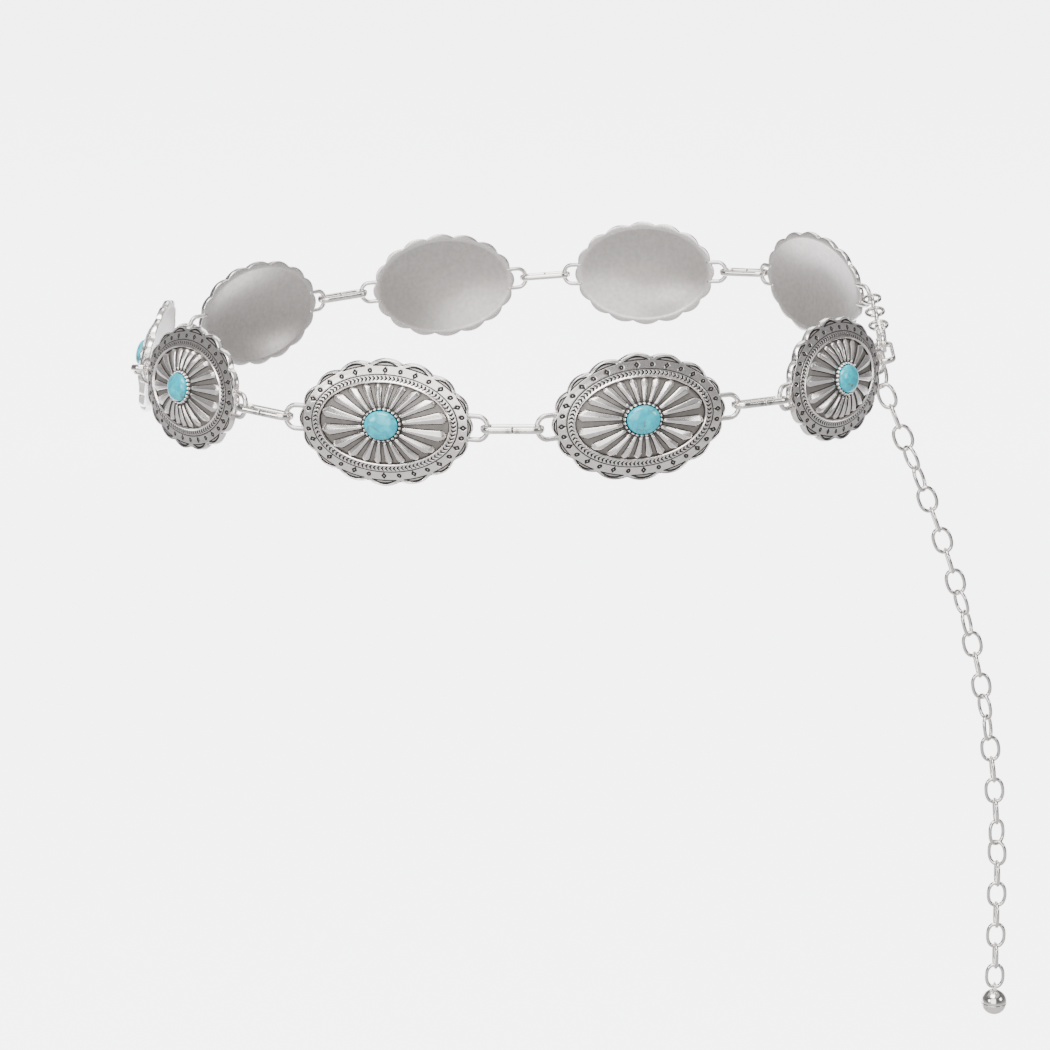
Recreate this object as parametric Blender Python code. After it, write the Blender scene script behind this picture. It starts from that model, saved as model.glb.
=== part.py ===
"""Chain belt: oval cast conchos with turquoise stones, oval links, a lobster clasp and a hanging chain.

The belt is built as it is worn, as a closed loop round an open waist. +Z is up, the front faces -Y
and +X is on the viewer's right. The origin is the middle of the waist, at the height of the front.
All sizes are in metres.
"""
import math

import bmesh
import bpy
import numpy as np
from mathutils import Matrix, Vector

# The waist that the loop closes round, measured to the faces of the conchos
WAIST_HALF_WIDTH = 0.1300
WAIST_FRONT_DEPTH = 0.1170
WAIST_FULLNESS = 2.2
HIP_FLARE = math.radians(12.0)

# Where each concho rides on the waist, from the clasp end round the front to the chain end:
# its name, the height of its middle, and how its long axis slopes up to the viewer's right
CONCHO_PLACES = (
    ("right", 0.0064, 4.0),
    ("front_right", 0.0009, 4.3),
    ("front_left", -0.0009, -1.2),
    ("left", 0.0035, -3.5),
    ("side_left", 0.0026, -0.5),
    ("back_left", 0.0080, -4.0),
    ("back", 0.0145, -4.5),
    ("back_right", 0.0200, -3.0),
    ("side_right", 0.0215, 1.5),
)

# Concho: a domed oval casting with a scalloped edge, a raised ridge and a fluted field
CONCHO_HALF_LENGTH = 0.0285
CONCHO_HALF_HEIGHT = 0.0206
SCALLOP_COUNT = 16
SCALLOP_NOTCH_LENGTH = 0.0006
SCALLOP_NOTCH_HEIGHT = 0.0008
EDGE_DROP = 0.0009
EDGE_THICKNESS = 0.0015
RIDGE_HALF_LENGTH = 0.0215
RIDGE_HALF_HEIGHT = 0.0134
RIDGE_RISE = 0.0012
FIELD_HALF_LENGTH = 0.0207
FIELD_HALF_HEIGHT = 0.0125
FIELD_RISE = 0.0002
PETAL_COUNT = 20
PETAL_RISE = 0.0010
PETAL_SHOULDER = 0.86
DOME_RISE = 0.0030
HOLLOW_MARGIN = 0.0030
WALL_THICKNESS = 0.0013

# Stone: an oval cabochon in a raised bezel
STONE_HALF_LENGTH = 0.00543
STONE_HALF_HEIGHT = 0.0046
STONE_GIRDLE = 0.0009
STONE_DOME = 0.0022
BEZEL_WALL = 0.0007
BEZEL_RISE = 0.0012

# Loops cast on the two ends of each concho
LOOP_WIRE = 0.0014
LOOP_HEIGHT = 0.0089
LOOP_REACH = 0.0054
LOOP_ROOT = 0.0026

# Oval links between the conchos
LINK_WIRE = 0.0018
LINK_WIDTH = 0.0078
LINK_SHOWING = 0.01405

# Fine chain
CHAIN_WIRE = 0.00115
CHAIN_LINK_LENGTH = 0.0101
CHAIN_LINK_WIDTH = 0.0072
CHAIN_FUSION = 0.0002
BACK_CHAIN_LINKS = 5
TAIL_CHAIN_LINKS = 31

# Lobster clasp; the outlines are shares of the body's length and half height, and of the lever's depth
HOOK_WIRE = 0.0016
HOOK_BEND = 0.0029
HOOK_TIP = 0.0044
HOOK_ASIDE = 0.0007
CLASP_BODY_START = 0.0090
CLASP_BODY_LENGTH = 0.0072
CLASP_BODY_THICKNESS = 0.0034
CLASP_EYE_BORE = 0.0025
CLASP_EYE_WIRE = 0.0012
LEVER_THICKNESS = 0.0014
LEVER_DEPTH = 0.0015
LEVER_PIN = 0.0010
LEVER_PIN_SETBACK = 0.0030
LEVER_TAB = 0.0018
CLASP_OUTLINE = (
    (0.0, -1.0),
    (0.5, -1.0),
    (0.88, -0.5),
    (1.0, -0.25),
    (1.0, 0.25),
    (0.88, 0.68),
    (0.7, 0.92),
    (0.15, 0.92),
    (0.0, 0.55),
)
LEVER_BACK_OUTLINE = (
    (-0.65, -0.8),
    (0.0, -1.0),
    (0.7, -0.8),
    (1.0, 0.0),
)

# Ball on the end of the hanging chain
BALL_DIAMETER = 0.0096
BALL_LOOP_WIRE = 0.0010
BALL_LOOP_WIDTH = 0.0046

# Room between pieces that touch or pass through each other
CLEARANCE = 0.0003

# The hanging chain's route over the hip, as steps across and down from the middle of its first link
TAIL_ROUTE = (
    (0.0000, 0.0000),
    (0.0006, -0.0080),
    (0.0044, -0.0175),
    (0.0083, -0.0270),
    (0.0172, -0.0480),
    (0.0260, -0.0705),
    (0.0333, -0.0930),
    (0.0397, -0.1160),
    (0.0441, -0.1390),
    (0.0473, -0.1620),
    (0.0491, -0.1850),
    (0.0498, -0.2090),
    (0.0508, -0.2700),
)
# Links that hang with a slack turn, where the next link stands less than a quarter turn away
SLACK_LINKS = (1, 2, 3, 5, 6, 7, 12, 13, 14, 17, 18, 19, 23, 24, 25)
SLACK_TURN = math.radians(60.0)
QUARTER_TURN = math.radians(90.0)
FIRST_LINK_TURN = math.radians(90.0)

EDGE_POINTS = 4
LOOP_SIDES = 5
LOOP_STEPS = 5
LINK_SIDES = 6
LINK_END_STEPS = 5
CHAIN_SIDES = 5
CHAIN_END_STEPS = 4
BACK_POINTS = 12
STONE_POINTS = 16

# Sizes that follow from the ones above
CONCHO_APEX = CONCHO_HALF_LENGTH + LOOP_REACH
LOOP_LEVEL = -EDGE_DROP - EDGE_THICKNESS / 2
LINK_INNER_LENGTH = LINK_SHOWING + 2 * (LOOP_WIRE + CLEARANCE)
LINK_LENGTH = LINK_INNER_LENGTH + 2 * LINK_WIRE
LINK_INNER_RADIUS = LINK_WIDTH / 2 - LINK_WIRE
CHAIN_PITCH = CHAIN_LINK_LENGTH - 2 * CHAIN_WIRE + CHAIN_FUSION
CLASP_EYE_RADIUS = (CLASP_EYE_BORE + CLASP_EYE_WIRE) / 2
CLASP_BODY_END = CLASP_BODY_START + CLASP_BODY_LENGTH
CLASP_EYE_CENTRE = CLASP_BODY_END + CLASP_EYE_BORE / 2 + CLASP_EYE_WIRE / 2
CLASP_SPAN = CLASP_EYE_CENTRE + CLASP_EYE_BORE / 2
BEZEL_INNER_LENGTH = STONE_HALF_LENGTH + CLEARANCE
BEZEL_INNER_HEIGHT = STONE_HALF_HEIGHT + CLEARANCE


def clear_scene():
    """Remove every object that is there at the start."""
    for item in list(bpy.data.objects):
        bpy.data.objects.remove(item, do_unlink=True)


def metal(name, colour, roughness):
    """Make a plain metal material."""
    material = bpy.data.materials.new(name)
    material.use_nodes = True
    shader = material.node_tree.nodes["Principled BSDF"]
    shader.inputs["Base Color"].default_value = (*colour, 1.0)
    shader.inputs["Metallic"].default_value = 1.0
    shader.inputs["Roughness"].default_value = roughness
    return material


def polished_stone(name, colour):
    """Make a plain polished stone material."""
    material = bpy.data.materials.new(name)
    material.use_nodes = True
    shader = material.node_tree.nodes["Principled BSDF"]
    shader.inputs["Base Color"].default_value = (*colour, 1.0)
    shader.inputs["Roughness"].default_value = 0.25
    return material


def antique_silver(name):
    """The darkened cast metal of the conchos."""
    return metal(name + "_antique_silver", (0.46, 0.44, 0.42), 0.38)


def bright_silver(name):
    """The polished plate of links, chain, clasp and ball."""
    return metal(name + "_bright_silver", (0.82, 0.80, 0.78), 0.16)


def turquoise(name):
    """The stones' light blue-green."""
    return polished_stone(name + "_turquoise", (0.15, 0.70, 0.72))


def add_object(name, mesh, material, place):
    """Put a mesh in the scene under a name, with its own material and its place."""
    item = bpy.data.objects.new(name, mesh)
    bpy.context.scene.collection.objects.link(item)
    if not mesh.materials:
        mesh.materials.append(None)
    item.material_slots[0].link = "OBJECT"
    item.material_slots[0].material = material
    item.matrix_world = place
    return item


def mesh_of(bm, name):
    """Turn a bmesh into a mesh whose round stretches are shaded smooth."""
    bmesh.ops.recalc_face_normals(bm, faces=bm.faces)
    mesh = bpy.data.meshes.new(name)
    bm.to_mesh(mesh)
    bm.free()
    mesh.shade_smooth()
    mesh.set_sharp_from_angle(angle=math.radians(35.0))
    return mesh


def frame_matrix(along, across, centre):
    """A place whose X runs along one direction and whose Y leans to another."""
    x_axis = along.normalized()
    y_axis = (across - across.dot(x_axis) * x_axis).normalized()
    z_axis = x_axis.cross(y_axis)
    place = Matrix((x_axis, y_axis, z_axis)).transposed().to_4x4()
    place.translation = centre
    return place


def add_ring(bm, half_length, half_height, count, height):
    """Add an oval ring of vertices; half sizes and height may be functions of the angle."""
    ring = []
    for step in range(count):
        angle = 2 * math.pi * step / count
        length = half_length(angle) if callable(half_length) else half_length
        breadth = half_height(angle) if callable(half_height) else half_height
        level = height(angle) if callable(height) else height
        point = (length * math.cos(angle), breadth * math.sin(angle), level)
        ring.append((angle, bm.verts.new(point)))
    return ring


def stitch(bm, inner, outer):
    """Fill the band between two rings, whose counts may differ, by walking round both in step."""
    done_inner = 0
    done_outer = 0
    full_turn = 2 * math.pi
    while done_inner < len(inner) or done_outer < len(outer):
        inner_vertex = inner[done_inner % len(inner)][1]
        outer_vertex = outer[done_outer % len(outer)][1]
        inner_turns, inner_step = divmod(done_inner + 1, len(inner))
        outer_turns, outer_step = divmod(done_outer + 1, len(outer))
        next_inner = inner[inner_step][0] + full_turn * inner_turns
        next_outer = outer[outer_step][0] + full_turn * outer_turns
        step_inner = done_inner < len(inner) and (done_outer >= len(outer) or next_inner < next_outer - 1e-9)
        if step_inner:
            bm.faces.new((inner_vertex, outer_vertex, inner[inner_step][1]))
            done_inner += 1
        elif done_inner < len(inner) and abs(next_inner - next_outer) < 1e-9:
            bm.faces.new((inner_vertex, outer_vertex, outer[outer_step][1], inner[inner_step][1]))
            done_inner += 1
            done_outer += 1
        else:
            bm.faces.new((inner_vertex, outer_vertex, outer[outer_step][1]))
            done_outer += 1


def cap(bm, ring):
    """Close a ring with one flat face."""
    bm.faces.new([vertex for _, vertex in ring])


def add_wire(bm, path, wire, sides, closed):
    """Sweep a round wire along a flat path in the XY plane, with an edge of the wire turned inwards."""
    count = len(path)
    sections = []
    for step, point in enumerate(path):
        before = path[(step - 1) % count] if closed or step > 0 else point
        after = path[(step + 1) % count] if closed or step < count - 1 else point
        tangent = (after - before).normalized()
        inwards = Vector((-tangent.y, tangent.x, 0.0))
        section = []
        for side in range(sides):
            angle = 2 * math.pi * side / sides
            offset = math.cos(angle) * inwards + math.sin(angle) * Vector((0.0, 0.0, 1.0))
            section.append(bm.verts.new(point + offset * wire / 2))
        sections.append(section)
    spans = count if closed else count - 1
    for step in range(spans):
        here = sections[step]
        there = sections[(step + 1) % count]
        for side in range(sides):
            beside = (side + 1) % sides
            bm.faces.new((here[side], here[beside], there[beside], there[side]))
    if not closed:
        bm.faces.new(sections[0])
        bm.faces.new(list(reversed(sections[-1])))


def oval_path(length, width, wire, end_steps):
    """The middle line of an oval link with round ends, as seen from above, anticlockwise."""
    radius = (width - wire) / 2
    straight = (length - width) / 2
    path = []
    for side in (1, -1):
        for step in range(end_steps + 1):
            angle = -math.pi / 2 + math.pi * step / end_steps
            path.append(Vector((side * (straight + radius * math.cos(angle)), side * radius * math.sin(angle), 0.0)))
    return path


def wire_mesh(name, path, wire, sides, closed):
    """A mesh of one swept wire."""
    bm = bmesh.new()
    add_wire(bm, path, wire, sides, closed)
    return mesh_of(bm, name)


def combine(name, first, others, operation):
    """Join or cut meshes with an exact Boolean and return the new mesh."""
    body = bpy.data.objects.new(name, first)
    bpy.context.scene.collection.objects.link(body)
    helpers = []
    for other in others:
        helper = bpy.data.objects.new(name + "_tool", other)
        bpy.context.scene.collection.objects.link(helper)
        helpers.append(helper)
        modifier = body.modifiers.new(name + "_" + operation.lower(), "BOOLEAN")
        modifier.operation = operation
        modifier.object = helper
    bpy.context.view_layer.update()
    evaluated = body.evaluated_get(bpy.context.evaluated_depsgraph_get())
    mesh = bpy.data.meshes.new_from_object(evaluated)
    for item in helpers + [body]:
        bpy.data.objects.remove(item, do_unlink=True)
    bm = bmesh.new()
    bm.from_mesh(mesh)
    bmesh.ops.remove_doubles(bm, verts=bm.verts, dist=1e-6)
    bpy.data.meshes.remove(mesh)
    return mesh_of(bm, name)


def scallop(half_size, notch):
    """The edge's half size at an angle: full at each scallop's crown, less at the notch between two."""
    pitch = 2 * math.pi / SCALLOP_COUNT

    def at(angle):
        from_crown = abs((angle / pitch + 0.5) % 1.0 - 0.5) * 2
        return half_size - notch * from_crown ** 2

    return at


def flute(top, floor):
    """The field's height at an angle: a ridge along each petal, the floor between two."""
    pitch = 2 * math.pi / PETAL_COUNT

    def at(angle):
        on_petal = round(angle / (pitch / 2)) % 2 == 1
        return top if on_petal else floor

    return at


def concho_plate():
    """The domed plate: scalloped edge, ridge, fluted field, bezel and hollow back."""
    bm = bmesh.new()
    rise = FIELD_RISE + DOME_RISE
    shoulder_length = FIELD_HALF_LENGTH * PETAL_SHOULDER
    shoulder_height = FIELD_HALF_HEIGHT * PETAL_SHOULDER
    shoulder_floor = FIELD_RISE + DOME_RISE * (1 - PETAL_SHOULDER)
    foot_length = BEZEL_INNER_LENGTH + BEZEL_WALL
    foot_height = BEZEL_INNER_HEIGHT + BEZEL_WALL
    edge_length = scallop(CONCHO_HALF_LENGTH, SCALLOP_NOTCH_LENGTH)
    edge_height = scallop(CONCHO_HALF_HEIGHT, SCALLOP_NOTCH_HEIGHT)
    edge_count = SCALLOP_COUNT * EDGE_POINTS
    back_level = -EDGE_DROP - EDGE_THICKNESS
    front = [
        add_ring(bm, edge_length, edge_height, edge_count, -EDGE_DROP),
        add_ring(bm, RIDGE_HALF_LENGTH, RIDGE_HALF_HEIGHT, 2 * PETAL_COUNT, RIDGE_RISE),
        add_ring(bm, FIELD_HALF_LENGTH, FIELD_HALF_HEIGHT, 2 * PETAL_COUNT, FIELD_RISE),
        add_ring(bm, shoulder_length, shoulder_height, 2 * PETAL_COUNT,
                 flute(shoulder_floor + PETAL_RISE, shoulder_floor)),
        add_ring(bm, foot_length, foot_height, PETAL_COUNT, rise),
        add_ring(bm, foot_length, foot_height, PETAL_COUNT, rise + BEZEL_RISE),
        add_ring(bm, BEZEL_INNER_LENGTH, BEZEL_INNER_HEIGHT, PETAL_COUNT, rise + BEZEL_RISE),
        add_ring(bm, BEZEL_INNER_LENGTH, BEZEL_INNER_HEIGHT, PETAL_COUNT, rise),
    ]
    back = [
        add_ring(bm, edge_length, edge_height, edge_count, back_level),
        add_ring(bm, CONCHO_HALF_LENGTH - HOLLOW_MARGIN, CONCHO_HALF_HEIGHT - HOLLOW_MARGIN,
                 BACK_POINTS, back_level),
        add_ring(bm, FIELD_HALF_LENGTH, FIELD_HALF_HEIGHT, BACK_POINTS, FIELD_RISE - WALL_THICKNESS),
        add_ring(bm, foot_length, foot_height, BACK_POINTS, rise - WALL_THICKNESS),
    ]
    for outer, inner in zip(front[:-1], front[1:]):
        stitch(bm, inner, outer)
    for outer, inner in zip(back[:-1], back[1:]):
        stitch(bm, inner, outer)
    stitch(bm, front[0], back[0])
    cap(bm, front[-1])
    cap(bm, back[-1])
    return mesh_of(bm, "concho_plate")


def end_loop(side):
    """The D-shaped loop behind one end of a concho, from inside the plate round its bow and back."""
    half_height = (LOOP_HEIGHT - LOOP_WIRE) / 2
    bow = LOOP_REACH * 0.6
    bow_start = CONCHO_APEX - LOOP_WIRE / 2 - bow
    path = [Vector((CONCHO_HALF_LENGTH - LOOP_ROOT, -half_height, 0.0))]
    for step in range(LOOP_STEPS + 1):
        angle = -math.pi / 2 + math.pi * step / LOOP_STEPS
        path.append(Vector((bow_start + bow * math.cos(angle), half_height * math.sin(angle), 0.0)))
    path.append(Vector((CONCHO_HALF_LENGTH - LOOP_ROOT, half_height, 0.0)))
    turned = Matrix.Rotation(0.0 if side > 0 else math.pi, 4, "Z")
    mesh = wire_mesh("end_loop", [turned @ point for point in path], LOOP_WIRE, LOOP_SIDES, False)
    mesh.transform(Matrix.Translation((0.0, 0.0, LOOP_LEVEL)))
    return mesh


def stone_mesh():
    """The cabochon: a flat back, a straight girdle and a low dome."""
    bm = bmesh.new()
    seat = FIELD_RISE + DOME_RISE + CLEARANCE
    girdle_top = seat + STONE_GIRDLE
    rings = [add_ring(bm, STONE_HALF_LENGTH, STONE_HALF_HEIGHT, STONE_POINTS, seat)]
    for climb in (0.0, 40.0):
        share = math.cos(math.radians(climb))
        level = girdle_top + STONE_DOME * math.sin(math.radians(climb))
        rings.append(add_ring(bm, STONE_HALF_LENGTH * share, STONE_HALF_HEIGHT * share, STONE_POINTS, level))
    for outer, inner in zip(rings[:-1], rings[1:]):
        stitch(bm, inner, outer)
    cap(bm, rings[0])
    crown = bm.verts.new((0.0, 0.0, girdle_top + STONE_DOME))
    top = rings[-1]
    for step in range(STONE_POINTS):
        bm.faces.new((top[step][1], top[(step + 1) % STONE_POINTS][1], crown))
    return mesh_of(bm, "stone")


def waist_curve(back_depth):
    """Points round the waist with their arc lengths, from the front over the right side and back."""
    turn = np.linspace(0.0, 2 * np.pi, 2881)
    power = 2.0 / WAIST_FULLNESS
    depth = np.where(np.cos(turn) > 0, WAIST_FRONT_DEPTH, back_depth)
    across = WAIST_HALF_WIDTH * np.sign(np.sin(turn)) * np.abs(np.sin(turn)) ** power
    along = -depth * np.sign(np.cos(turn)) * np.abs(np.cos(turn)) ** power
    steps = np.hypot(np.diff(across), np.diff(along))
    length = np.concatenate([[0.0], np.cumsum(steps)])
    return length, across, along


def concho_place(curve, distance, height, slope):
    """The place of a concho whose middle is a distance round the waist from the front."""
    length, across, along = curve
    reach = 0.002
    around = [(distance + shift) % length[-1] for shift in (-reach, 0.0, reach)]
    points = [Vector((np.interp(s, length, across), np.interp(s, length, along), 0.0)) for s in around]
    level_axis = (points[2] - points[0]).normalized()
    level_normal = Vector((level_axis.y, -level_axis.x, 0.0))
    tilt = HIP_FLARE * level_normal.x ** 2
    up = Vector((0.0, 0.0, 1.0))
    long_axis = level_axis * math.cos(slope) + up * math.sin(slope)
    normal = level_normal * math.cos(tilt) + up * math.sin(tilt)
    normal = (normal - normal.dot(long_axis) * long_axis).normalized()
    place = Matrix((long_axis, normal.cross(long_axis), normal)).transposed().to_4x4()
    place.translation = points[1] + up * height
    return place


def apex(place, side):
    """The outermost point of a concho's loop on its right (1) or left (-1) end."""
    return place @ Vector((side * CONCHO_APEX, 0.0, LOOP_LEVEL))


def bisect(low, high, is_above):
    """Find where a test turns true between two values."""
    for _ in range(40):
        middle = (low + high) / 2
        if is_above(middle):
            high = middle
        else:
            low = middle
    return (low + high) / 2


def lay_conchos(back_depth):
    """Places of all conchos on a waist of a given back depth, each one link away from the last."""
    curve = waist_curve(back_depth)
    slopes = [math.radians(slope) for _, _, slope in CONCHO_PLACES]
    heights = [height for _, height, _ in CONCHO_PLACES]
    pitch = 2 * CONCHO_APEX + LINK_SHOWING

    def neighbour(distance, index, towards):
        other = index + towards
        fixed = apex(concho_place(curve, distance, heights[index], slopes[index]), -towards)

        def too_far(gap):
            place = concho_place(curve, distance - towards * gap, heights[other], slopes[other])
            return (apex(place, towards) - fixed).length > LINK_SHOWING

        return distance - towards * bisect(pitch * 0.8, pitch * 1.15, too_far)

    def front_too_wide(half_gap):
        right = apex(concho_place(curve, half_gap, heights[1], slopes[1]), -1)
        left = apex(concho_place(curve, -half_gap, heights[2], slopes[2]), 1)
        return (right - left).length > LINK_SHOWING

    half = bisect(pitch * 0.4, pitch * 0.6, front_too_wide)
    distances = {1: half, 2: -half}
    distances[0] = neighbour(distances[1], 1, -1)
    for index in range(2, len(CONCHO_PLACES) - 1):
        distances[index + 1] = neighbour(distances[index], index, 1)
    places = [concho_place(curve, distances[index], heights[index], slopes[index])
              for index in range(len(CONCHO_PLACES))]
    closing_arc = curve[0][-1] + distances[len(CONCHO_PLACES) - 1] - distances[0] - 2 * CONCHO_APEX
    return places, closing_arc


def closing_lengths():
    """How far the hook sits along the end ring, and the stretch from the hook to the last loop."""
    ring_straight = (LINK_LENGTH - LINK_WIDTH) / 2
    ring_middle = LINK_INNER_LENGTH / 2 - LOOP_WIRE - CLEARANCE
    reach = LINK_INNER_RADIUS - HOOK_WIRE / 2 - CLEARANCE
    hook_inside = math.sqrt(max(reach ** 2 - HOOK_ASIDE ** 2, 0.0)) + HOOK_WIRE / 2
    hook_along = ring_middle + ring_straight + hook_inside
    first_link = CLASP_SPAN - CLEARANCE - CHAIN_WIRE + CHAIN_LINK_LENGTH / 2
    last_link = first_link + CHAIN_PITCH * (BACK_CHAIN_LINKS - 1)
    chain_end = last_link + CHAIN_LINK_LENGTH / 2 - CHAIN_WIRE
    hook_to_apex = chain_end - CLEARANCE - LOOP_WIRE
    return ring_middle, hook_along, first_link, hook_to_apex


def lay_belt():
    """Close the loop: the waist is as deep at the back as the belt's own length makes it."""
    _, hook_along, _, hook_to_apex = closing_lengths()
    wanted = math.hypot(hook_along, HOOK_ASIDE) + hook_to_apex

    def too_long(depth):
        places, closing_arc = lay_conchos(depth)
        span = (apex(places[-1], -1) - apex(places[0], 1)).length
        return math.copysign(span, closing_arc) > wanted

    return lay_conchos(bisect(0.02, 0.30, too_long))[0]


def extruded(name, outline, thickness):
    """A flat plate with an outline in X and Y, centred on the XY plane."""
    bm = bmesh.new()
    base = [bm.verts.new((x, y, -thickness / 2)) for x, y in outline]
    face = bm.faces.new(base)
    made = bmesh.ops.extrude_face_region(bm, geom=[face])
    top = [item for item in made["geom"] if isinstance(item, bmesh.types.BMVert)]
    bmesh.ops.translate(bm, verts=top, vec=(0.0, 0.0, thickness))
    return mesh_of(bm, name)


def pin_mesh(name, radius, length, x, y):
    """A round pin or bore that stands across the clasp."""
    bm = bmesh.new()
    bmesh.ops.create_cone(bm, cap_ends=True, segments=10, radius1=radius, radius2=radius, depth=length)
    bmesh.ops.translate(bm, verts=bm.verts, vec=(x, y, 0.0))
    return mesh_of(bm, name)


def lever_pivot():
    """Where the lever's pin stands in the clasp's own plane."""
    return CLASP_BODY_START + LEVER_PIN_SETBACK, HOOK_BEND - LEVER_DEPTH / 3


def clasp_body_mesh():
    """Hook, slotted body, pin and eye as one casting; X runs from the hook to the eye, Y is up."""
    half_hook = HOOK_BEND + HOOK_WIRE / 2
    start = CLASP_BODY_START
    pivot_x, pivot_y = lever_pivot()
    outline = [(start + CLASP_BODY_LENGTH * along, half_hook * up) for along, up in CLASP_OUTLINE]
    block = extruded("clasp_block", outline, CLASP_BODY_THICKNESS)
    hook_path = [Vector((start + CLASP_BODY_LENGTH * 0.2, -HOOK_BEND, 0.0))]
    bend_centre = HOOK_BEND - HOOK_WIRE / 2
    for step in range(9):
        angle = math.radians(-90.0 - 22.5 * step)
        hook_path.append(Vector((bend_centre + HOOK_BEND * math.cos(angle), HOOK_BEND * math.sin(angle), 0.0)))
    hook_path.append(Vector((HOOK_TIP, HOOK_BEND, 0.0)))
    hook = wire_mesh("hook", hook_path, HOOK_WIRE, 8, False)
    eye_path = [Vector((CLASP_EYE_CENTRE + CLASP_EYE_RADIUS * math.cos(2 * math.pi * step / 12),
                        CLASP_EYE_RADIUS * math.sin(2 * math.pi * step / 12), 0.0)) for step in range(12)]
    eye = wire_mesh("eye", eye_path, CLASP_EYE_WIRE, 6, True)
    slot_width = LEVER_THICKNESS + 2 * CLEARANCE
    slot_end = pivot_x + LEVER_DEPTH + 2 * CLEARANCE
    slot = extruded("slot", (
        (start - half_hook, 0.0),
        (slot_end, 0.0),
        (slot_end, 2 * half_hook),
        (start - half_hook, 2 * half_hook),
    ), slot_width)
    slotted = combine("slotted", block, [slot], "DIFFERENCE")
    pin = pin_mesh("pin", LEVER_PIN / 2, CLASP_BODY_THICKNESS - HOOK_WIRE / 4, pivot_x, pivot_y)
    return combine("clasp_body", slotted, [hook, eye, pin], "UNION")


def lever_mesh():
    """The spring lever, with its origin on its pin; it closes the hook and has a thumb tab."""
    pivot_x, pivot_y = lever_pivot()
    tip = HOOK_TIP + 1.5 * CLEARANCE - pivot_x
    low = HOOK_BEND - LEVER_DEPTH / 2 - pivot_y
    high = HOOK_BEND + LEVER_DEPTH / 2 - pivot_y
    eye = LEVER_DEPTH
    outline = [(tip, low), (-1.2 * eye, low * 1.4)]
    outline += [(along * eye, up * eye) for along, up in LEVER_BACK_OUTLINE]
    outline += [
        (eye, high),
        (0.75 * eye, high + LEVER_TAB),
        (0.15 * eye, high + LEVER_TAB),
        (-0.4 * eye, high),
        (tip, high),
    ]
    plate = extruded("lever_plate", outline, LEVER_THICKNESS)
    bore = pin_mesh("bore", LEVER_PIN / 2 + CLEARANCE, 2 * LEVER_THICKNESS, 0.0, 0.0)
    return combine("lever", plate, [bore], "DIFFERENCE")


def chain_mesh(name, places):
    """Fuse a run of links: the odd and the even ones are joined where each holds the next."""
    path = oval_path(CHAIN_LINK_LENGTH, CHAIN_LINK_WIDTH, CHAIN_WIRE, CHAIN_END_STEPS)
    halves = []
    for first in (0, 1):
        bm = bmesh.new()
        for place in places[first::2]:
            start = len(bm.verts)
            add_wire(bm, path, CHAIN_WIRE, CHAIN_SIDES, True)
            bm.verts.ensure_lookup_table()
            bmesh.ops.transform(bm, matrix=place, verts=bm.verts[start:])
        halves.append(mesh_of(bm, name + "_half"))
    return combine(name, halves[0], [halves[1]], "UNION")


def route_point(distance):
    """A point and the direction of the hanging chain at a distance along its route."""
    stations = np.array(TAIL_ROUTE)
    legs = np.hypot(*np.diff(stations, axis=0).T)
    marks = np.concatenate([[0.0], np.cumsum(legs)])
    slopes = np.gradient(stations, marks, axis=0)
    index = min(int(np.searchsorted(marks, distance, side="right")) - 1, len(legs) - 1)
    leg = legs[index]
    share = (distance - marks[index]) / leg
    square = share ** 2
    cube = share ** 3
    point = ((2 * cube - 3 * square + 1) * stations[index] + (cube - 2 * square + share) * leg * slopes[index]
             + (3 * square - 2 * cube) * stations[index + 1] + (cube - square) * leg * slopes[index + 1])
    return Vector((float(point[0]), 0.0, float(point[1])))


def tail_places(first_centre):
    """Places of the hanging links, a pitch apart along the route, each turned from the one above."""
    places = []
    turn = FIRST_LINK_TURN
    centre = first_centre
    distance = 0.0
    for number in range(1, TAIL_CHAIN_LINKS + 1):
        ahead = distance + CHAIN_PITCH

        def beyond(mark, here=centre):
            return (first_centre + route_point(mark) - here).length > CHAIN_PITCH

        next_mark = bisect(ahead - CHAIN_PITCH / 2, ahead + CHAIN_PITCH / 2, beyond)
        next_centre = first_centre + route_point(next_mark)
        behind = centre - (next_centre - centre) if number == 1 else places[-1].translation
        down = (next_centre - behind).normalized()
        side = Vector((1.0, 0.0, 0.0))
        side = (side - side.dot(down) * down).normalized()
        depth = down.cross(side)
        places.append(frame_matrix(down, math.cos(turn) * side + math.sin(turn) * depth, centre))
        turn += SLACK_TURN if number in SLACK_LINKS else QUARTER_TURN
        centre = next_centre
        distance = next_mark
    return places


def ball_mesh():
    """The end ball with its small loop, hung from the loop's top at the origin, Z up."""
    radius = BALL_DIAMETER / 2
    bm = bmesh.new()
    bmesh.ops.create_uvsphere(bm, u_segments=16, v_segments=9, radius=radius)
    ball = mesh_of(bm, "ball")
    sphere_top = -(BALL_LOOP_WIRE + CHAIN_WIRE + 2 * CLEARANCE)
    ball.transform(Matrix.Translation((0.0, 0.0, sphere_top - radius)))
    loop_radius = (BALL_LOOP_WIDTH - BALL_LOOP_WIRE) / 2
    path = []
    for step in range(12):
        angle = 2 * math.pi * step / 12
        path.append(Vector((loop_radius * math.cos(angle), loop_radius * math.sin(angle), 0.0)))
    loop = wire_mesh("ball_loop", path, BALL_LOOP_WIRE, 6, True)
    upright = Matrix.Rotation(math.pi / 2, 4, "X")
    loop.transform(Matrix.Translation((0.0, 0.0, -BALL_LOOP_WIRE / 2 - loop_radius)) @ upright)
    return combine("end_ball", ball, [loop], "UNION")


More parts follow.
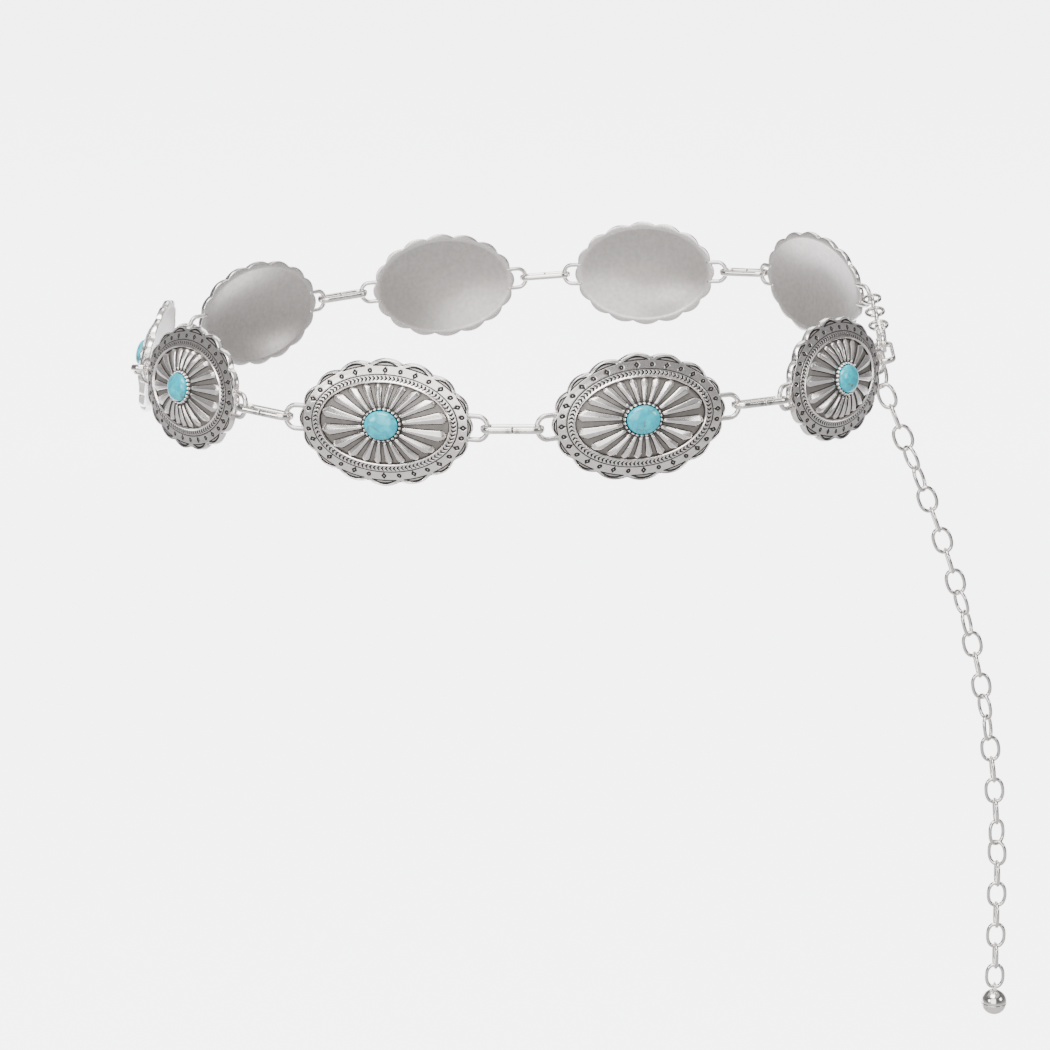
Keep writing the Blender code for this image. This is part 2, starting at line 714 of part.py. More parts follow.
def build_conchos(places):
    """Make each concho, with its loops cast on, and its stone."""
    casting = combine("concho", concho_plate(), [end_loop(1), end_loop(-1)], "UNION")
    stone = stone_mesh()
    for (name, _, _), place in zip(CONCHO_PLACES, places):
        add_object("concho_" + name, casting, antique_silver("concho_" + name), place)
        add_object("stone_" + name, stone, turquoise("stone_" + name), place)


def build_links(places):
    """Make the oval link between each concho and the next."""
    path = oval_path(LINK_LENGTH, LINK_WIDTH, LINK_WIRE, LINK_END_STEPS)
    link = wire_mesh("link", path, LINK_WIRE, LINK_SIDES, True)
    for number, (right, left) in enumerate(zip(places[:-1], places[1:]), start=1):
        start = apex(left, 1)
        end = apex(right, -1)
        outwards = right.to_3x3() @ Vector((0.0, 0.0, 1.0)) + left.to_3x3() @ Vector((0.0, 0.0, 1.0))
        place = frame_matrix(end - start, outwards, (start + end) / 2)
        add_object(f"link_{number}", link, bright_silver(f"link_{number}"), place)
    return link


def build_closure(places, link):
    """Make the end ring, the clasp that hooks into it, and the chain from the clasp to the last concho."""
    ring_middle, hook_along, first_link, hook_to_apex = closing_lengths()
    start = apex(places[0], 1)
    end = apex(places[-1], -1)
    normal = places[0].to_3x3() @ Vector((0.0, 0.0, 1.0)) + places[-1].to_3x3() @ Vector((0.0, 0.0, 1.0))
    line = frame_matrix(end - start, normal, start)
    ring_place = line @ Matrix.Translation((ring_middle, 0.0, 0.0))
    add_object("end_ring", link, bright_silver("end_ring"), ring_place)

    hook_point = line @ Vector((hook_along, HOOK_ASIDE, 0.0))
    outwards = line.to_3x3() @ Vector((0.0, 1.0, 0.0))
    upwards = (end - hook_point).normalized().cross(outwards)
    if upwards.z < 0:
        upwards.negate()
    clasp = frame_matrix(end - hook_point, upwards, hook_point)
    add_object("clasp_body", clasp_body_mesh(), bright_silver("clasp_body"), clasp)
    pivot_x, pivot_y = lever_pivot()
    lever_place = clasp @ Matrix.Translation((pivot_x, pivot_y, 0.0))
    add_object("clasp_lever", lever_mesh(), bright_silver("clasp_lever"), lever_place)

    chain_places = []
    for number in range(BACK_CHAIN_LINKS):
        shift = Matrix.Translation((first_link + CHAIN_PITCH * number, 0.0, 0.0))
        turn = Matrix.Rotation(QUARTER_TURN * (number + 1), 4, "X")
        chain_places.append(clasp @ shift @ turn)
    back_chain = chain_mesh("back_chain", chain_places)
    add_object("back_chain", back_chain, bright_silver("back_chain"), Matrix.Identity(4))
    return line


def build_tail(line):
    """Make the chain that hangs from the end ring beside the hook, and the ball on its end."""
    ring_middle, _, _, _ = closing_lengths()
    straight = (LINK_LENGTH - LINK_WIDTH) / 2
    bend = (LINK_WIDTH - LINK_WIRE) / 2
    aside = HOOK_ASIDE - HOOK_WIRE / 2 - CHAIN_WIRE / 2 - 1.1 * CLEARANCE
    over_wire = line @ Vector((ring_middle + straight + math.sqrt(bend ** 2 - aside ** 2), aside, 0.0))
    drop = LINK_WIRE / 2 + CLEARANCE + CHAIN_WIRE - CHAIN_LINK_LENGTH / 2
    first_centre = over_wire + Vector((0.0, 0.0, drop))
    places = tail_places(first_centre)
    tail = chain_mesh("tail_chain", places)
    add_object("tail_chain", tail, bright_silver("tail_chain"), Matrix.Identity(4))

    last = places[-1]
    down = last.to_3x3() @ Vector((1.0, 0.0, 0.0))
    bottom = last.translation + down * (CHAIN_LINK_LENGTH / 2 - CHAIN_WIRE)
    top = bottom + Vector((0.0, 0.0, BALL_LOOP_WIRE + CLEARANCE))
    across = last.to_3x3() @ Vector((0.0, 0.0, 1.0))
    ball_place = frame_matrix(across, Vector((0.0, 0.0, 1.0)).cross(across), top)
    add_object("end_ball", ball_mesh(), bright_silver("end_ball"), ball_place)


def build_belt():
    """Build the whole belt."""
    clear_scene()
    places = lay_belt()
    build_conchos(places)
    link = build_links(places)
    line = build_closure(places, link)
    build_tail(line)


build_belt()
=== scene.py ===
"""Visual model of a concho chain belt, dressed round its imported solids.

Lengths are in millimetres, in the frame of each piece, until Frame.put turns them into metres in
the belt's own frame: +Z up, the front of the belt towards -Y, +X to the viewer's right.
"""
from __future__ import annotations

import logging
import math
from dataclasses import dataclass, field
from enum import Enum
from typing import Any

import bpy
import numpy as np
from mathutils import Matrix

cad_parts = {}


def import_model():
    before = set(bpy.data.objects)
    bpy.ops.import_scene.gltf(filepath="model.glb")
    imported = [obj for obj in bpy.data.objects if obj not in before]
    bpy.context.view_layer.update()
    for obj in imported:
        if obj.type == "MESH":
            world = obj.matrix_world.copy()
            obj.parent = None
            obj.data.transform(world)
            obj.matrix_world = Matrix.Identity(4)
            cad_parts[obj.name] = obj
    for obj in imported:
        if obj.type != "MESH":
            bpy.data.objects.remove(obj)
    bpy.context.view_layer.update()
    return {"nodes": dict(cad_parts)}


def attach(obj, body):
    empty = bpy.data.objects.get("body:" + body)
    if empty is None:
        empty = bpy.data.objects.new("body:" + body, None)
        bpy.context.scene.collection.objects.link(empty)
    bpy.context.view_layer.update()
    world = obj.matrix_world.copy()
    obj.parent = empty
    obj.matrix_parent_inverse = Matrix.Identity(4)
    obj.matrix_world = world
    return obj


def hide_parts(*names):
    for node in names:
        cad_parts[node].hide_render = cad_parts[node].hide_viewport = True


LOG = logging.getLogger("concho_belt")
MM = 0.001
TURN = 2.0 * math.pi
ROOT_BODY = "belt"
LEVER_BODY = "lever"
PATINA = "patina"
GROOVE = "groove"
# The play between two wires that hold each other
CLEARANCE = 0.3

# Vertices, triangles, and each vertex's patina and groove
Mesh = tuple[np.ndarray, np.ndarray, np.ndarray]


class End(Enum):
    """The two ends of a concho, on the viewer's right and left when it is seen from the front."""

    RIGHT = 1
    LEFT = -1


class Around(Enum):
    """Where each concho sits round the waist, from the clasp end to the chain end."""

    RIGHT = "right"
    FRONT_RIGHT = "front_right"
    FRONT_LEFT = "front_left"
    LEFT = "left"
    SIDE_LEFT = "side_left"
    BACK_LEFT = "back_left"
    BACK = "back"
    BACK_RIGHT = "back_right"
    SIDE_RIGHT = "side_right"


def linear(colour: str) -> tuple[float, float, float, float]:
    """Turn an sRGB hex colour into the linear colour that a shader takes.

    Args:
        colour: Six hex digits after a hash.

    Returns:
        Linear red, green and blue, and an alpha of one.
    """
    parts = [int(colour[start:start + 2], 16) / 255 for start in (1, 3, 5)]
    red, green, blue = (v / 12.92 if v <= 0.04045 else ((v + 0.055) / 1.055) ** 2.4 for v in parts)
    return red, green, blue, 1.0


def add_node(tree: bpy.types.NodeTree, kind: str, settings: dict[str, Any] | None = None,
             links: dict[Any, bpy.types.NodeSocket] | None = None, **options: Any) -> bpy.types.Node:
    """Add a node, set its sockets and options, and link its inputs.

    Args:
        tree: The node tree it goes into.
        kind: Blender's name for the node type.
        settings: Values for input sockets, by socket name or number.
        links: Output sockets that feed its inputs, by input name or number.
        **options: Attributes of the node itself.

    Returns:
        The new node.
    """
    node = tree.nodes.new(kind)
    for name, value in options.items():
        setattr(node, name, value)
    for key, value in (settings or {}).items():
        node.inputs[key].default_value = value
    for key, output in (links or {}).items():
        tree.links.new(output, node.inputs[key])
    return node


def set_ramp(node: bpy.types.Node, stops: list[tuple[float, tuple[float, ...]]]) -> None:
    """Give a colour ramp its stops.

    Args:
        node: The colour ramp node.
        stops: Position and linear colour of each stop, in rising order.
    """
    elements = node.color_ramp.elements
    while len(elements) < len(stops):
        elements.new(0.5)
    for element, (position, colour) in zip(elements, stops):
        element.position = position
        element.color = colour


def grey(value: float) -> tuple[float, float, float, float]:
    """A neutral linear colour."""
    return value, value, value, 1.0


def new_material(name: str) -> tuple[bpy.types.Material, bpy.types.NodeTree, bpy.types.Node]:
    """Make an empty node material.

    Args:
        name: The material's name.

    Returns:
        The material, its tree and its Principled shader.
    """
    material = bpy.data.materials.new(name)
    material.use_nodes = True
    tree = material.node_tree
    return material, tree, tree.nodes["Principled BSDF"]


def read_tone(tree: bpy.types.NodeTree, name: str) -> bpy.types.NodeSocket:
    """Read one of the two tones stored with the mesh.

    Args:
        tree: The node tree it is read in.
        name: PATINA, how dark the oxide is from 0 to 1, kept low on the petals' crests and edges partly as
        painted highlight, or GROOVE, which passes one half on the border of an engraved line, and of the
        dark lines at the petals' feet and the field's edges, partly oxide and partly painted shade.

    Returns:
        The tone as a value.
    """
    return add_node(tree, "ShaderNodeAttribute", attribute_name=name).outputs["Fac"]


@dataclass(frozen=True)
class AntiqueSilver:
    """Zinc alloy, spin cast, silver plated, blackened with oxide and wiped.

    Reliefs shine and recesses stay dark. Sizes are in millimetres, and line_border is the groove tone between
    which an engraved line, and a dark line of oxide and painted shade at a petal's foot, turns black.
    """

    wiped: str = "#f4eeea"
    grey_floor: str = "#87827d"
    oxide: str = "#1e1a18"
    grey_at: float = 0.50
    oxide_at: float = 0.95
    polish: float = 0.19
    dulling: float = 0.45
    oxide_metallic: float = 0.2
    unevenness: float = 0.08
    line_border: tuple[float, float] = (0.28, 0.50)
    line_darkness: float = 0.97
    casting_grain: float = 0.35
    grain_depth: float = 0.06
    grain_strength: tuple[float, float] = (0.05, 0.5)
    brush_grain: float = 1.6

    def build(self, name: str) -> bpy.types.Material:
        """Make the material.

        Args:
            name: The material's name.

        Returns:
            The finished material.
        """
        material, tree, shader = new_material(name)
        where = add_node(tree, "ShaderNodeTexCoord").outputs["Object"]
        patina = read_tone(tree, PATINA)
        # Wiping leaves uneven oxide: cloudy patches about 1.6 mm across
        cloud = add_node(tree, "ShaderNodeTexNoise", {"Scale": 1 / (self.brush_grain * MM), "Detail": 3.0},
                         {"Vector": where})
        spread = add_node(tree, "ShaderNodeMapRange", {"To Min": -self.unevenness, "To Max": self.unevenness},
                          {"Value": cloud.outputs["Fac"]})
        uneven = add_node(tree, "ShaderNodeMath", {}, {0: patina, 1: spread.outputs[0]},
                          operation="ADD", use_clamp=True)
        # An engraved line, and a dark line of oxide and painted shade at a petal's foot, is black right up to its
        # border
        low, high = self.line_border
        dark_marks = add_node(tree, "ShaderNodeMapRange",
                            {"From Min": low, "From Max": high, "To Max": self.line_darkness},
                            {"Value": read_tone(tree, GROOVE)}, interpolation_type="SMOOTHSTEP")
        dark = add_node(tree, "ShaderNodeMath", {}, {0: uneven.outputs[0], 1: dark_marks.outputs[0]},
                        operation="MAXIMUM")
        tone = add_node(tree, "ShaderNodeValToRGB", {}, {"Fac": dark.outputs[0]})
        set_ramp(tone, [(0.0, linear(self.wiped)), (self.grey_at, linear(self.grey_floor)),
                        (self.oxide_at, linear(self.oxide))])
        tree.links.new(tone.outputs["Color"], shader.inputs["Base Color"])
        metallic = add_node(tree, "ShaderNodeMapRange", {"To Min": 1.0, "To Max": self.oxide_metallic},
                            {"Value": dark.outputs[0]})
        tree.links.new(metallic.outputs[0], shader.inputs["Metallic"])
        rough = add_node(tree, "ShaderNodeMapRange",
                         {"To Min": self.polish, "To Max": self.polish + self.dulling},
                         {"Value": dark.outputs[0]})
        tree.links.new(rough.outputs[0], shader.inputs["Roughness"])
        # The mould leaves a fine grain of about a third of a millimetre, polished away on the reliefs
        grain = add_node(tree, "ShaderNodeTexNoise", {"Scale": 1 / (self.casting_grain * MM), "Detail": 2.0},
                         {"Vector": where})
        weak, strong = self.grain_strength
        strength = add_node(tree, "ShaderNodeMapRange", {"To Min": weak, "To Max": strong}, {"Value": patina})
        bump = add_node(tree, "ShaderNodeBump", {"Distance": self.grain_depth * MM},
                        {"Height": grain.outputs["Fac"], "Strength": strength.outputs[0]})
        tree.links.new(bump.outputs["Normal"], shader.inputs["Normal"])
        return material


@dataclass(frozen=True)
class PolishedPlate:
    """Steel or brass wire, tumbled and silver plated: bright and smooth, with faint marks and a dark seam."""

    plate: str = "#efeae4"
    seam: str = "#3a332e"
    polish: float = 0.10
    smudge: float = 2.5
    smudge_spread: tuple[float, float] = (-0.04, 0.10)
    scratch: float = 0.25
    scratch_depth: float = 0.02
    scratch_strength: float = 0.12

    def build(self, name: str) -> bpy.types.Material:
        """Make the material.

        Args:
            name: The material's name.

        Returns:
            The finished material.
        """
        material, tree, shader = new_material(name)
        shader.inputs["Metallic"].default_value = 1.0
        where = add_node(tree, "ShaderNodeTexCoord").outputs["Object"]
        patina = read_tone(tree, PATINA)
        tone = add_node(tree, "ShaderNodeMix", {6: linear(self.plate), 7: linear(self.seam)}, {0: patina},
                        data_type="RGBA")
        tree.links.new(tone.outputs[2], shader.inputs["Base Color"])
        # Finger smudges 2.5 mm across dull the plate a little
        smudge = add_node(tree, "ShaderNodeTexNoise", {"Scale": 1 / (self.smudge * MM), "Detail": 4.0},
                          {"Vector": where})
        clean, smudged = self.smudge_spread
        rough = add_node(tree, "ShaderNodeMapRange",
                         {"To Min": self.polish + clean, "To Max": self.polish + smudged},
                         {"Value": smudge.outputs["Fac"]})
        tree.links.new(rough.outputs[0], shader.inputs["Roughness"])
        # Tumbling marks a quarter of a millimetre across
        marks = add_node(tree, "ShaderNodeTexNoise", {"Scale": 1 / (self.scratch * MM), "Detail": 2.0},
                         {"Vector": where})
        bump = add_node(tree, "ShaderNodeBump",
                        {"Distance": self.scratch_depth * MM, "Strength": self.scratch_strength},
                        {"Height": marks.outputs["Fac"]})
        tree.links.new(bump.outputs["Normal"], shader.inputs["Normal"])
        return material


@dataclass(frozen=True)
class TurquoiseStone:
    """Stabilised turquoise, cut and polished: sky blue with paler clouds and thin brown veins of its rock."""

    body: str = "#00a9bd"
    cloud: str = "#10cfdb"
    vein: str = "#6d5c48"
    polish: float = 0.16
    ior: float = 1.61
    cloud_size: float = 2.2
    body_at: float = 0.44
    cloud_at: float = 0.68
    vein_size: float = 5.5
    vein_width: float = 0.035
    bend_size: float = 3.0
    bend_reach: float = 3.5
    patch_size: float = 4.0
    patch_border: tuple[float, float] = (0.48, 0.62)

    def build(self, name: str) -> bpy.types.Material:
        """Make the material.

        Args:
            name: The material's name.

        Returns:
            The finished material.
        """
        material, tree, shader = new_material(name)
        shader.inputs["Roughness"].default_value = self.polish
        shader.inputs["IOR"].default_value = self.ior
        where = add_node(tree, "ShaderNodeTexCoord").outputs["Object"]
        clouds = add_node(tree, "ShaderNodeTexNoise",
                          {"Scale": 1 / (self.cloud_size * MM), "Detail": 5.0, "Roughness": 0.6},
                          {"Vector": where})
        tone = add_node(tree, "ShaderNodeValToRGB", {}, {"Fac": clouds.outputs["Fac"]})
        set_ramp(tone, [(self.body_at, linear(self.body)), (self.cloud_at, linear(self.cloud))])
        # Veins follow the borders of cells about 5.5 mm across, bent by noise and broken by patches
        bend = add_node(tree, "ShaderNodeTexNoise", {"Scale": 1 / (self.bend_size * MM), "Detail": 3.0},
                        {"Vector": where})
        shifted = add_node(tree, "ShaderNodeVectorMath", {1: (self.bend_reach * MM,) * 3},
                           {0: bend.outputs["Color"]}, operation="MULTIPLY")
        bent = add_node(tree, "ShaderNodeVectorMath", {}, {0: where, 1: shifted.outputs[0]},
                        operation="ADD")
        cells = add_node(tree, "ShaderNodeTexVoronoi", {"Scale": 1 / (self.vein_size * MM)},
                         {"Vector": bent.outputs[0]}, feature="DISTANCE_TO_EDGE")
        thin = add_node(tree, "ShaderNodeMapRange",
                        {"From Min": 0.0, "From Max": self.vein_width, "To Min": 1.0, "To Max": 0.0},
                        {"Value": cells.outputs["Distance"]})
        patches = add_node(tree, "ShaderNodeTexNoise", {"Scale": 1 / (self.patch_size * MM), "Detail": 2.0},
                           {"Vector": where})
        low, high = self.patch_border
        kept = add_node(tree, "ShaderNodeMapRange", {"From Min": low, "From Max": high},
                        {"Value": patches.outputs["Fac"]})
        share = add_node(tree, "ShaderNodeMath", {}, {0: thin.outputs[0], 1: kept.outputs[0]},
                         operation="MULTIPLY")
        colour = add_node(tree, "ShaderNodeMix", {7: linear(self.vein)},
                          {0: share.outputs[0], 6: tone.outputs["Color"]}, data_type="RGBA")
        tree.links.new(colour.outputs[2], shader.inputs["Base Color"])
        return material


@dataclass(frozen=True)
class StudioPaper:
    """Matt background paper: a pale floor, grey walls, and a glowing wedge of painted light behind the belt.

    The wedge opens to the back. Grey walls beside and over it keep the outlines of polished metal dark.
    """

    floor_colour: str = "#c8c8ca"
    wall_colour: str = "#7a7a7c"
    floor_top: float = -0.40
    wall_blend: float = 0.5
    light: str = "#fbfbff"
    strength: float = 5.2
    wedge_point: float = -0.95
    wedge_start: float = 0.10
    wedge_full: float = 0.34
    wedge_slope: float = 0.27
    wedge_edge: float = 0.35
    wedge_top: float = 0.22
    wedge_fade: float = 0.3

    def build(self, name: str) -> bpy.types.Material:
        """Make the material.

        Args:
            name: The material's name.

        Returns:
            The finished material.
        """
        material, tree, shader = new_material(name)
        shader.inputs["Roughness"].default_value = 0.9
        shader.inputs["Specular IOR Level"].default_value = 0.1
        where = add_node(tree, "ShaderNodeTexCoord").outputs["Object"]
        split = add_node(tree, "ShaderNodeSeparateXYZ", {}, {0: where})
        raised = add_node(tree, "ShaderNodeMapRange",
                          {"From Min": self.floor_top, "From Max": self.floor_top + self.wall_blend},
                          {"Value": split.outputs["Z"]}, interpolation_type="SMOOTHSTEP")
        paper = add_node(tree, "ShaderNodeMix",
                         {6: linear(self.floor_colour), 7: linear(self.wall_colour)},
                         {0: raised.outputs[0]}, data_type="RGBA")
        tree.links.new(paper.outputs[2], shader.inputs["Base Color"])
        # Painted light: the paper itself glows in a wedge behind the belt, fading out above wedge_top
        behind = add_node(tree, "ShaderNodeMapRange",
                          {"From Min": self.wedge_start, "From Max": self.wedge_full},
                          {"Value": split.outputs["Y"]}, interpolation_type="SMOOTHSTEP")
        aside = add_node(tree, "ShaderNodeMath", {}, {0: split.outputs["X"]}, operation="ABSOLUTE")
        depth = add_node(tree, "ShaderNodeMath", {1: self.wedge_point}, {0: split.outputs["Y"]},
                         operation="SUBTRACT")
        slope = add_node(tree, "ShaderNodeMath", {}, {0: aside.outputs[0], 1: depth.outputs[0]},
                         operation="DIVIDE")
        within = add_node(tree, "ShaderNodeMapRange",
                          {"From Min": self.wedge_slope + self.wedge_edge, "From Max": self.wedge_slope},
                          {"Value": slope.outputs[0]}, interpolation_type="SMOOTHSTEP")
        share = add_node(tree, "ShaderNodeMath", {}, {0: behind.outputs[0], 1: within.outputs[0]},
                         operation="MULTIPLY")
        below = add_node(tree, "ShaderNodeMapRange",
                         {"From Min": self.wedge_top + self.wedge_fade, "From Max": self.wedge_top,
                          "To Max": self.strength},
                         {"Value": split.outputs["Z"]}, interpolation_type="SMOOTHSTEP")
        power = add_node(tree, "ShaderNodeMath", {}, {0: share.outputs[0], 1: below.outputs[0]},
                         operation="MULTIPLY")
        shader.inputs["Emission Color"].default_value = linear(self.light)
        tree.links.new(power.outputs[0], shader.inputs["Emission Strength"])
        return material


@dataclass(frozen=True)
class Frame:
    """A place in the belt: a centre in metres and three unit axes, as the columns of a matrix."""

    centre: np.ndarray
    axes: np.ndarray

    def put(self, points: np.ndarray) -> np.ndarray:
        """Turn local points in millimetres into the belt's frame in metres."""
        return points * MM @ self.axes.T + self.centre

    def moved(self, shift: tuple[float, float, float], roll: float = 0.0) -> Frame:
        """Step along this frame's own axes and roll about its X axis.

        Args:
            shift: The step in millimetres.
            roll: The turn about X in radians.

        Returns:
            The new frame.
        """
        c, s = math.cos(roll), math.sin(roll)
        rolled = self.axes @ np.array([[1, 0, 0], [0, c, -s], [0, s, c]])
        return Frame(self.put(np.array([shift]))[0], rolled)


def frame_from(along: np.ndarray, across: np.ndarray, centre: np.ndarray) -> Frame:
    """A frame whose X runs along one direction and whose Y leans to another.

    Args:
        along: The direction of X.
        across: The direction that Y leans to.
        centre: The centre in metres.

    Returns:
        The frame.
    """
    x_axis = along / np.linalg.norm(along)
    y_axis = across - (across @ x_axis) * x_axis
    y_axis /= np.linalg.norm(y_axis)
    return Frame(centre, np.column_stack([x_axis, y_axis, np.cross(x_axis, y_axis)]))


def node_points(node: bpy.types.Object) -> np.ndarray:
    """The vertices of a CAD node, in metres."""
    flat = np.empty(len(node.data.vertices) * 3)
    node.data.vertices.foreach_get("co", flat)
    return flat.reshape(-1, 3)


def flat_piece_frame(node: bpy.types.Object, up: bool) -> Frame:
    """Read the place of a flat, symmetric piece from its solid: its long axis is X and its thin axis Z.

    The axes are the principal directions of its vertices, and the centre is the middle of its extent.

    Args:
        node: The CAD node.
        up: True if Y points up and Z outwards, false if Y points outwards and Z up.

    Returns:
        The piece's frame.
    """
    points = node_points(node)
    middle = points.mean(0)
    _, vectors = np.linalg.eigh(np.cov((points - middle).T))
    thin, wide = vectors[:, 0], vectors[:, 1]
    outwards = middle * (1.0, 1.0, 0.0)
    thin = thin * np.sign(thin[2] if not up else thin @ outwards)
    wide = wide * np.sign(wide[2] if up else wide @ outwards)
    axes = np.column_stack([np.cross(wide, thin), wide, thin])
    local = (points - middle) @ axes
    centre = middle + axes @ ((local.min(0) + local.max(0)) / 2)
    return Frame(centre, axes)


def grid_mesh(points: np.ndarray, tones: np.ndarray | None = None, wrap_rows: bool = False) -> Mesh:
    """Join a grid of points into a closed skin: columns go round, rows run from pole to pole or round too.

    Args:
        points: Rows by columns by three. If the rows don't go round, the first and last row are closed
            by a fan to their mean point.
        tones: Rows by columns by two, patina and groove of each point, or None for all polished.
        wrap_rows: True if the last row joins the first.

    Returns:
        Vertices, triangles and tones.
    """
    rows, columns = points.shape[:2]
    dark = np.zeros((rows, columns, 2)) if tones is None else tones
    index = np.arange(rows * columns).reshape(rows, columns)
    below = np.roll(index, -1, axis=0) if wrap_rows else index[1:]
    here = index if wrap_rows else index[:-1]
    quads = [here, np.roll(here, -1, axis=1), np.roll(below, -1, axis=1), below]
    a, b, c, d = (part.ravel() for part in quads)
    faces = np.concatenate([np.column_stack([a, b, c]), np.column_stack([a, c, d])])
    vertices = points.reshape(-1, 3)
    shade = dark.reshape(-1, 2)
    if not wrap_rows:
        poles = np.stack([points[0].mean(0), points[-1].mean(0)])
        first, last = index[0], index[-1]
        top, bottom = rows * columns, rows * columns + 1
        fans = [np.column_stack([np.full(columns, top), np.roll(first, -1), first]),
                np.column_stack([np.full(columns, bottom), last, np.roll(last, -1)])]
        faces = np.concatenate([faces, *fans])
        vertices = np.concatenate([vertices, poles])
        shade = np.concatenate([shade, dark[0].mean(0)[None], dark[-1].mean(0)[None]])
    # The signed volume says whether the faces point outwards
    volume = np.einsum("ij,ij->i", vertices[faces[:, 0]],
                       np.cross(vertices[faces[:, 1]], vertices[faces[:, 2]]))
    if volume.sum() < 0:
        faces = faces[:, ::-1]
    return vertices, faces, shade


def join(parts: list[Mesh]) -> Mesh:
    """Put several skins into one mesh."""
    offsets = np.cumsum([0] + [len(part[0]) for part in parts[:-1]])
    return (np.concatenate([part[0] for part in parts]),
            np.concatenate([part[1] + offset for part, offset in zip(parts, offsets)]),
            np.concatenate([part[2] for part in parts]))


def placed(mesh: Mesh, place: Frame) -> Mesh:
    """Put a local mesh in millimetres where its frame says, in metres."""
    return place.put(mesh[0]), mesh[1], mesh[2]


def swept(path: np.ndarray, half_width: np.ndarray, half_height: np.ndarray, sides: int,
          closed: bool, squareness: float = 2.0) -> np.ndarray:
    """Carry an oval profile along a flat path in the XY plane.

    The profile at each path point is a superellipse: |x/w|^p + |y/h|^p = 1, with w across the path in
    its plane and h along Z.

    Args:
        path: Points of the middle line, two or three columns.
        half_width: Half size in the plane at each point.
        half_height: Half size along Z at each point.
        sides: Points round the profile.
        closed: True if the path is a loop.
        squareness: The power p of the superellipse.

    Returns:
        A grid of points, path by sides by three.
    """
    flat = path[:, :2]
    if closed:
        ahead, behind = np.roll(flat, -1, axis=0), np.roll(flat, 1, axis=0)
    else:
        ahead = np.concatenate([flat[1:], flat[-1:]])
        behind = np.concatenate([flat[:1], flat[:-1]])
    tangent = ahead - behind
    tangent /= np.linalg.norm(tangent, axis=1, keepdims=True)
    inwards = np.column_stack([-tangent[:, 1], tangent[:, 0]])
    angle = TURN * np.arange(sides) / sides
    power = 2.0 / squareness
    across = np.sign(np.cos(angle)) * np.abs(np.cos(angle)) ** power
    upright = np.sign(np.sin(angle)) * np.abs(np.sin(angle)) ** power
    points = np.empty((len(path), sides, 3))
    points[..., :2] = flat[:, None] + inwards[:, None] * (half_width[:, None] * across)[..., None]
    points[..., 2] = half_height[:, None] * upright
    return points


def oval_loop(length: float, width: float, wire: float, steps: int) -> np.ndarray:
    """The middle line of an oval link: two straight sides and two half circles, evenly spaced.

    Args:
        length: Outer length.
        width: Outer width.
        wire: Wire diameter.
        steps: Number of points.

    Returns:
        Points in the plane, starting in the middle of the side at +Y and going anticlockwise.
    """
    radius = (width - wire) / 2
    straight = (length - width) / 2
    total = 4 * straight + TURN * radius
    s = np.arange(steps) * total / steps
    bend = math.pi * radius
    edges = np.cumsum([straight, bend, 2 * straight, bend, straight])
    left_angle = math.pi / 2 + (s - edges[0]) / radius
    right_angle = -math.pi / 2 + (s - edges[2]) / radius
    conditions = [s < edges[0], s < edges[1], s < edges[2], s < edges[3]]
    x = np.select(conditions, [-s, -straight + radius * np.cos(left_angle), -straight + (s - edges[1]),
                               straight + radius * np.cos(right_angle)], straight - (s - edges[3]))
    y = np.select(conditions, [np.full_like(s, radius), radius * np.sin(left_angle),
                               np.full_like(s, -radius), radius * np.sin(right_angle)], radius)
    return np.column_stack([x, y])


def round_oval(length: float, width: float, wire: float, steps: int, fullness: float) -> np.ndarray:
    """The middle line of a rounded link: |x/a|^p + |y/b|^p = 1.

    Args:
        length: Outer length.
        width: Outer width.
        wire: Wire diameter.
        steps: Number of points.
        fullness: The power p.

    Returns:
        Points in the plane.
    """
    angle = TURN * np.arange(steps) / steps
    share = (np.abs(np.cos(angle)) ** fullness + np.abs(np.sin(angle)) ** fullness) ** (-1 / fullness)
    return np.column_stack([(length - wire) / 2 * share * np.cos(angle),
                            (width - wire) / 2 * share * np.sin(angle)])


def plain_tones(patina: np.ndarray) -> np.ndarray:
    """Tones of a surface that has patina but no engraved lines."""
    return np.stack([patina, np.zeros_like(patina)], axis=-1)


def bump_at(distance: np.ndarray, width: float) -> np.ndarray:
    """A smooth bump: one on the line, falling off as a bell curve with this half width."""
    return np.exp(-(distance / width) ** 2)


def step_at(value: np.ndarray, low: float, high: float) -> np.ndarray:
    """Rise smoothly from 0 at low to 1 at high, as 3x^2 - 2x^3."""
    share = np.clip((value - low) / (high - low), 0.0, 1.0)
    return share * share * (3.0 - 2.0 * share)


def add_piece(name: str, mesh: Mesh, material: bpy.types.Material, body: str, nodes: list[str]) -> bpy.types.Object:
    """Make a finished piece, which rides on its body and stands for its CAD nodes.

    Args:
        name: The piece's name.
        mesh: Vertices in metres, triangles and tones.
        material: What it is made of.
        body: The CAD body that it moves with.
        nodes: The CAD nodes that it replaces.

    Returns:
        The new object.
    """
    vertices, faces, tones = mesh
    data = bpy.data.meshes.new(name)
    data.from_pydata(vertices.tolist(), [], faces.tolist())
    data.shade_smooth()
    for column, tone in enumerate((PATINA, GROOVE)):
        layer = data.attributes.new(tone, "FLOAT", "POINT")
        layer.data.foreach_set("value", np.ascontiguousarray(tones[:, column], dtype=np.float32))
    data.materials.append(material)
    item = bpy.data.objects.new(name, data)
    bpy.context.scene.collection.objects.link(item)
    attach(item, body)
    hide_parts(*nodes)
    LOG.info("%s: %d triangles on %s", name, len(faces), body)
    return item


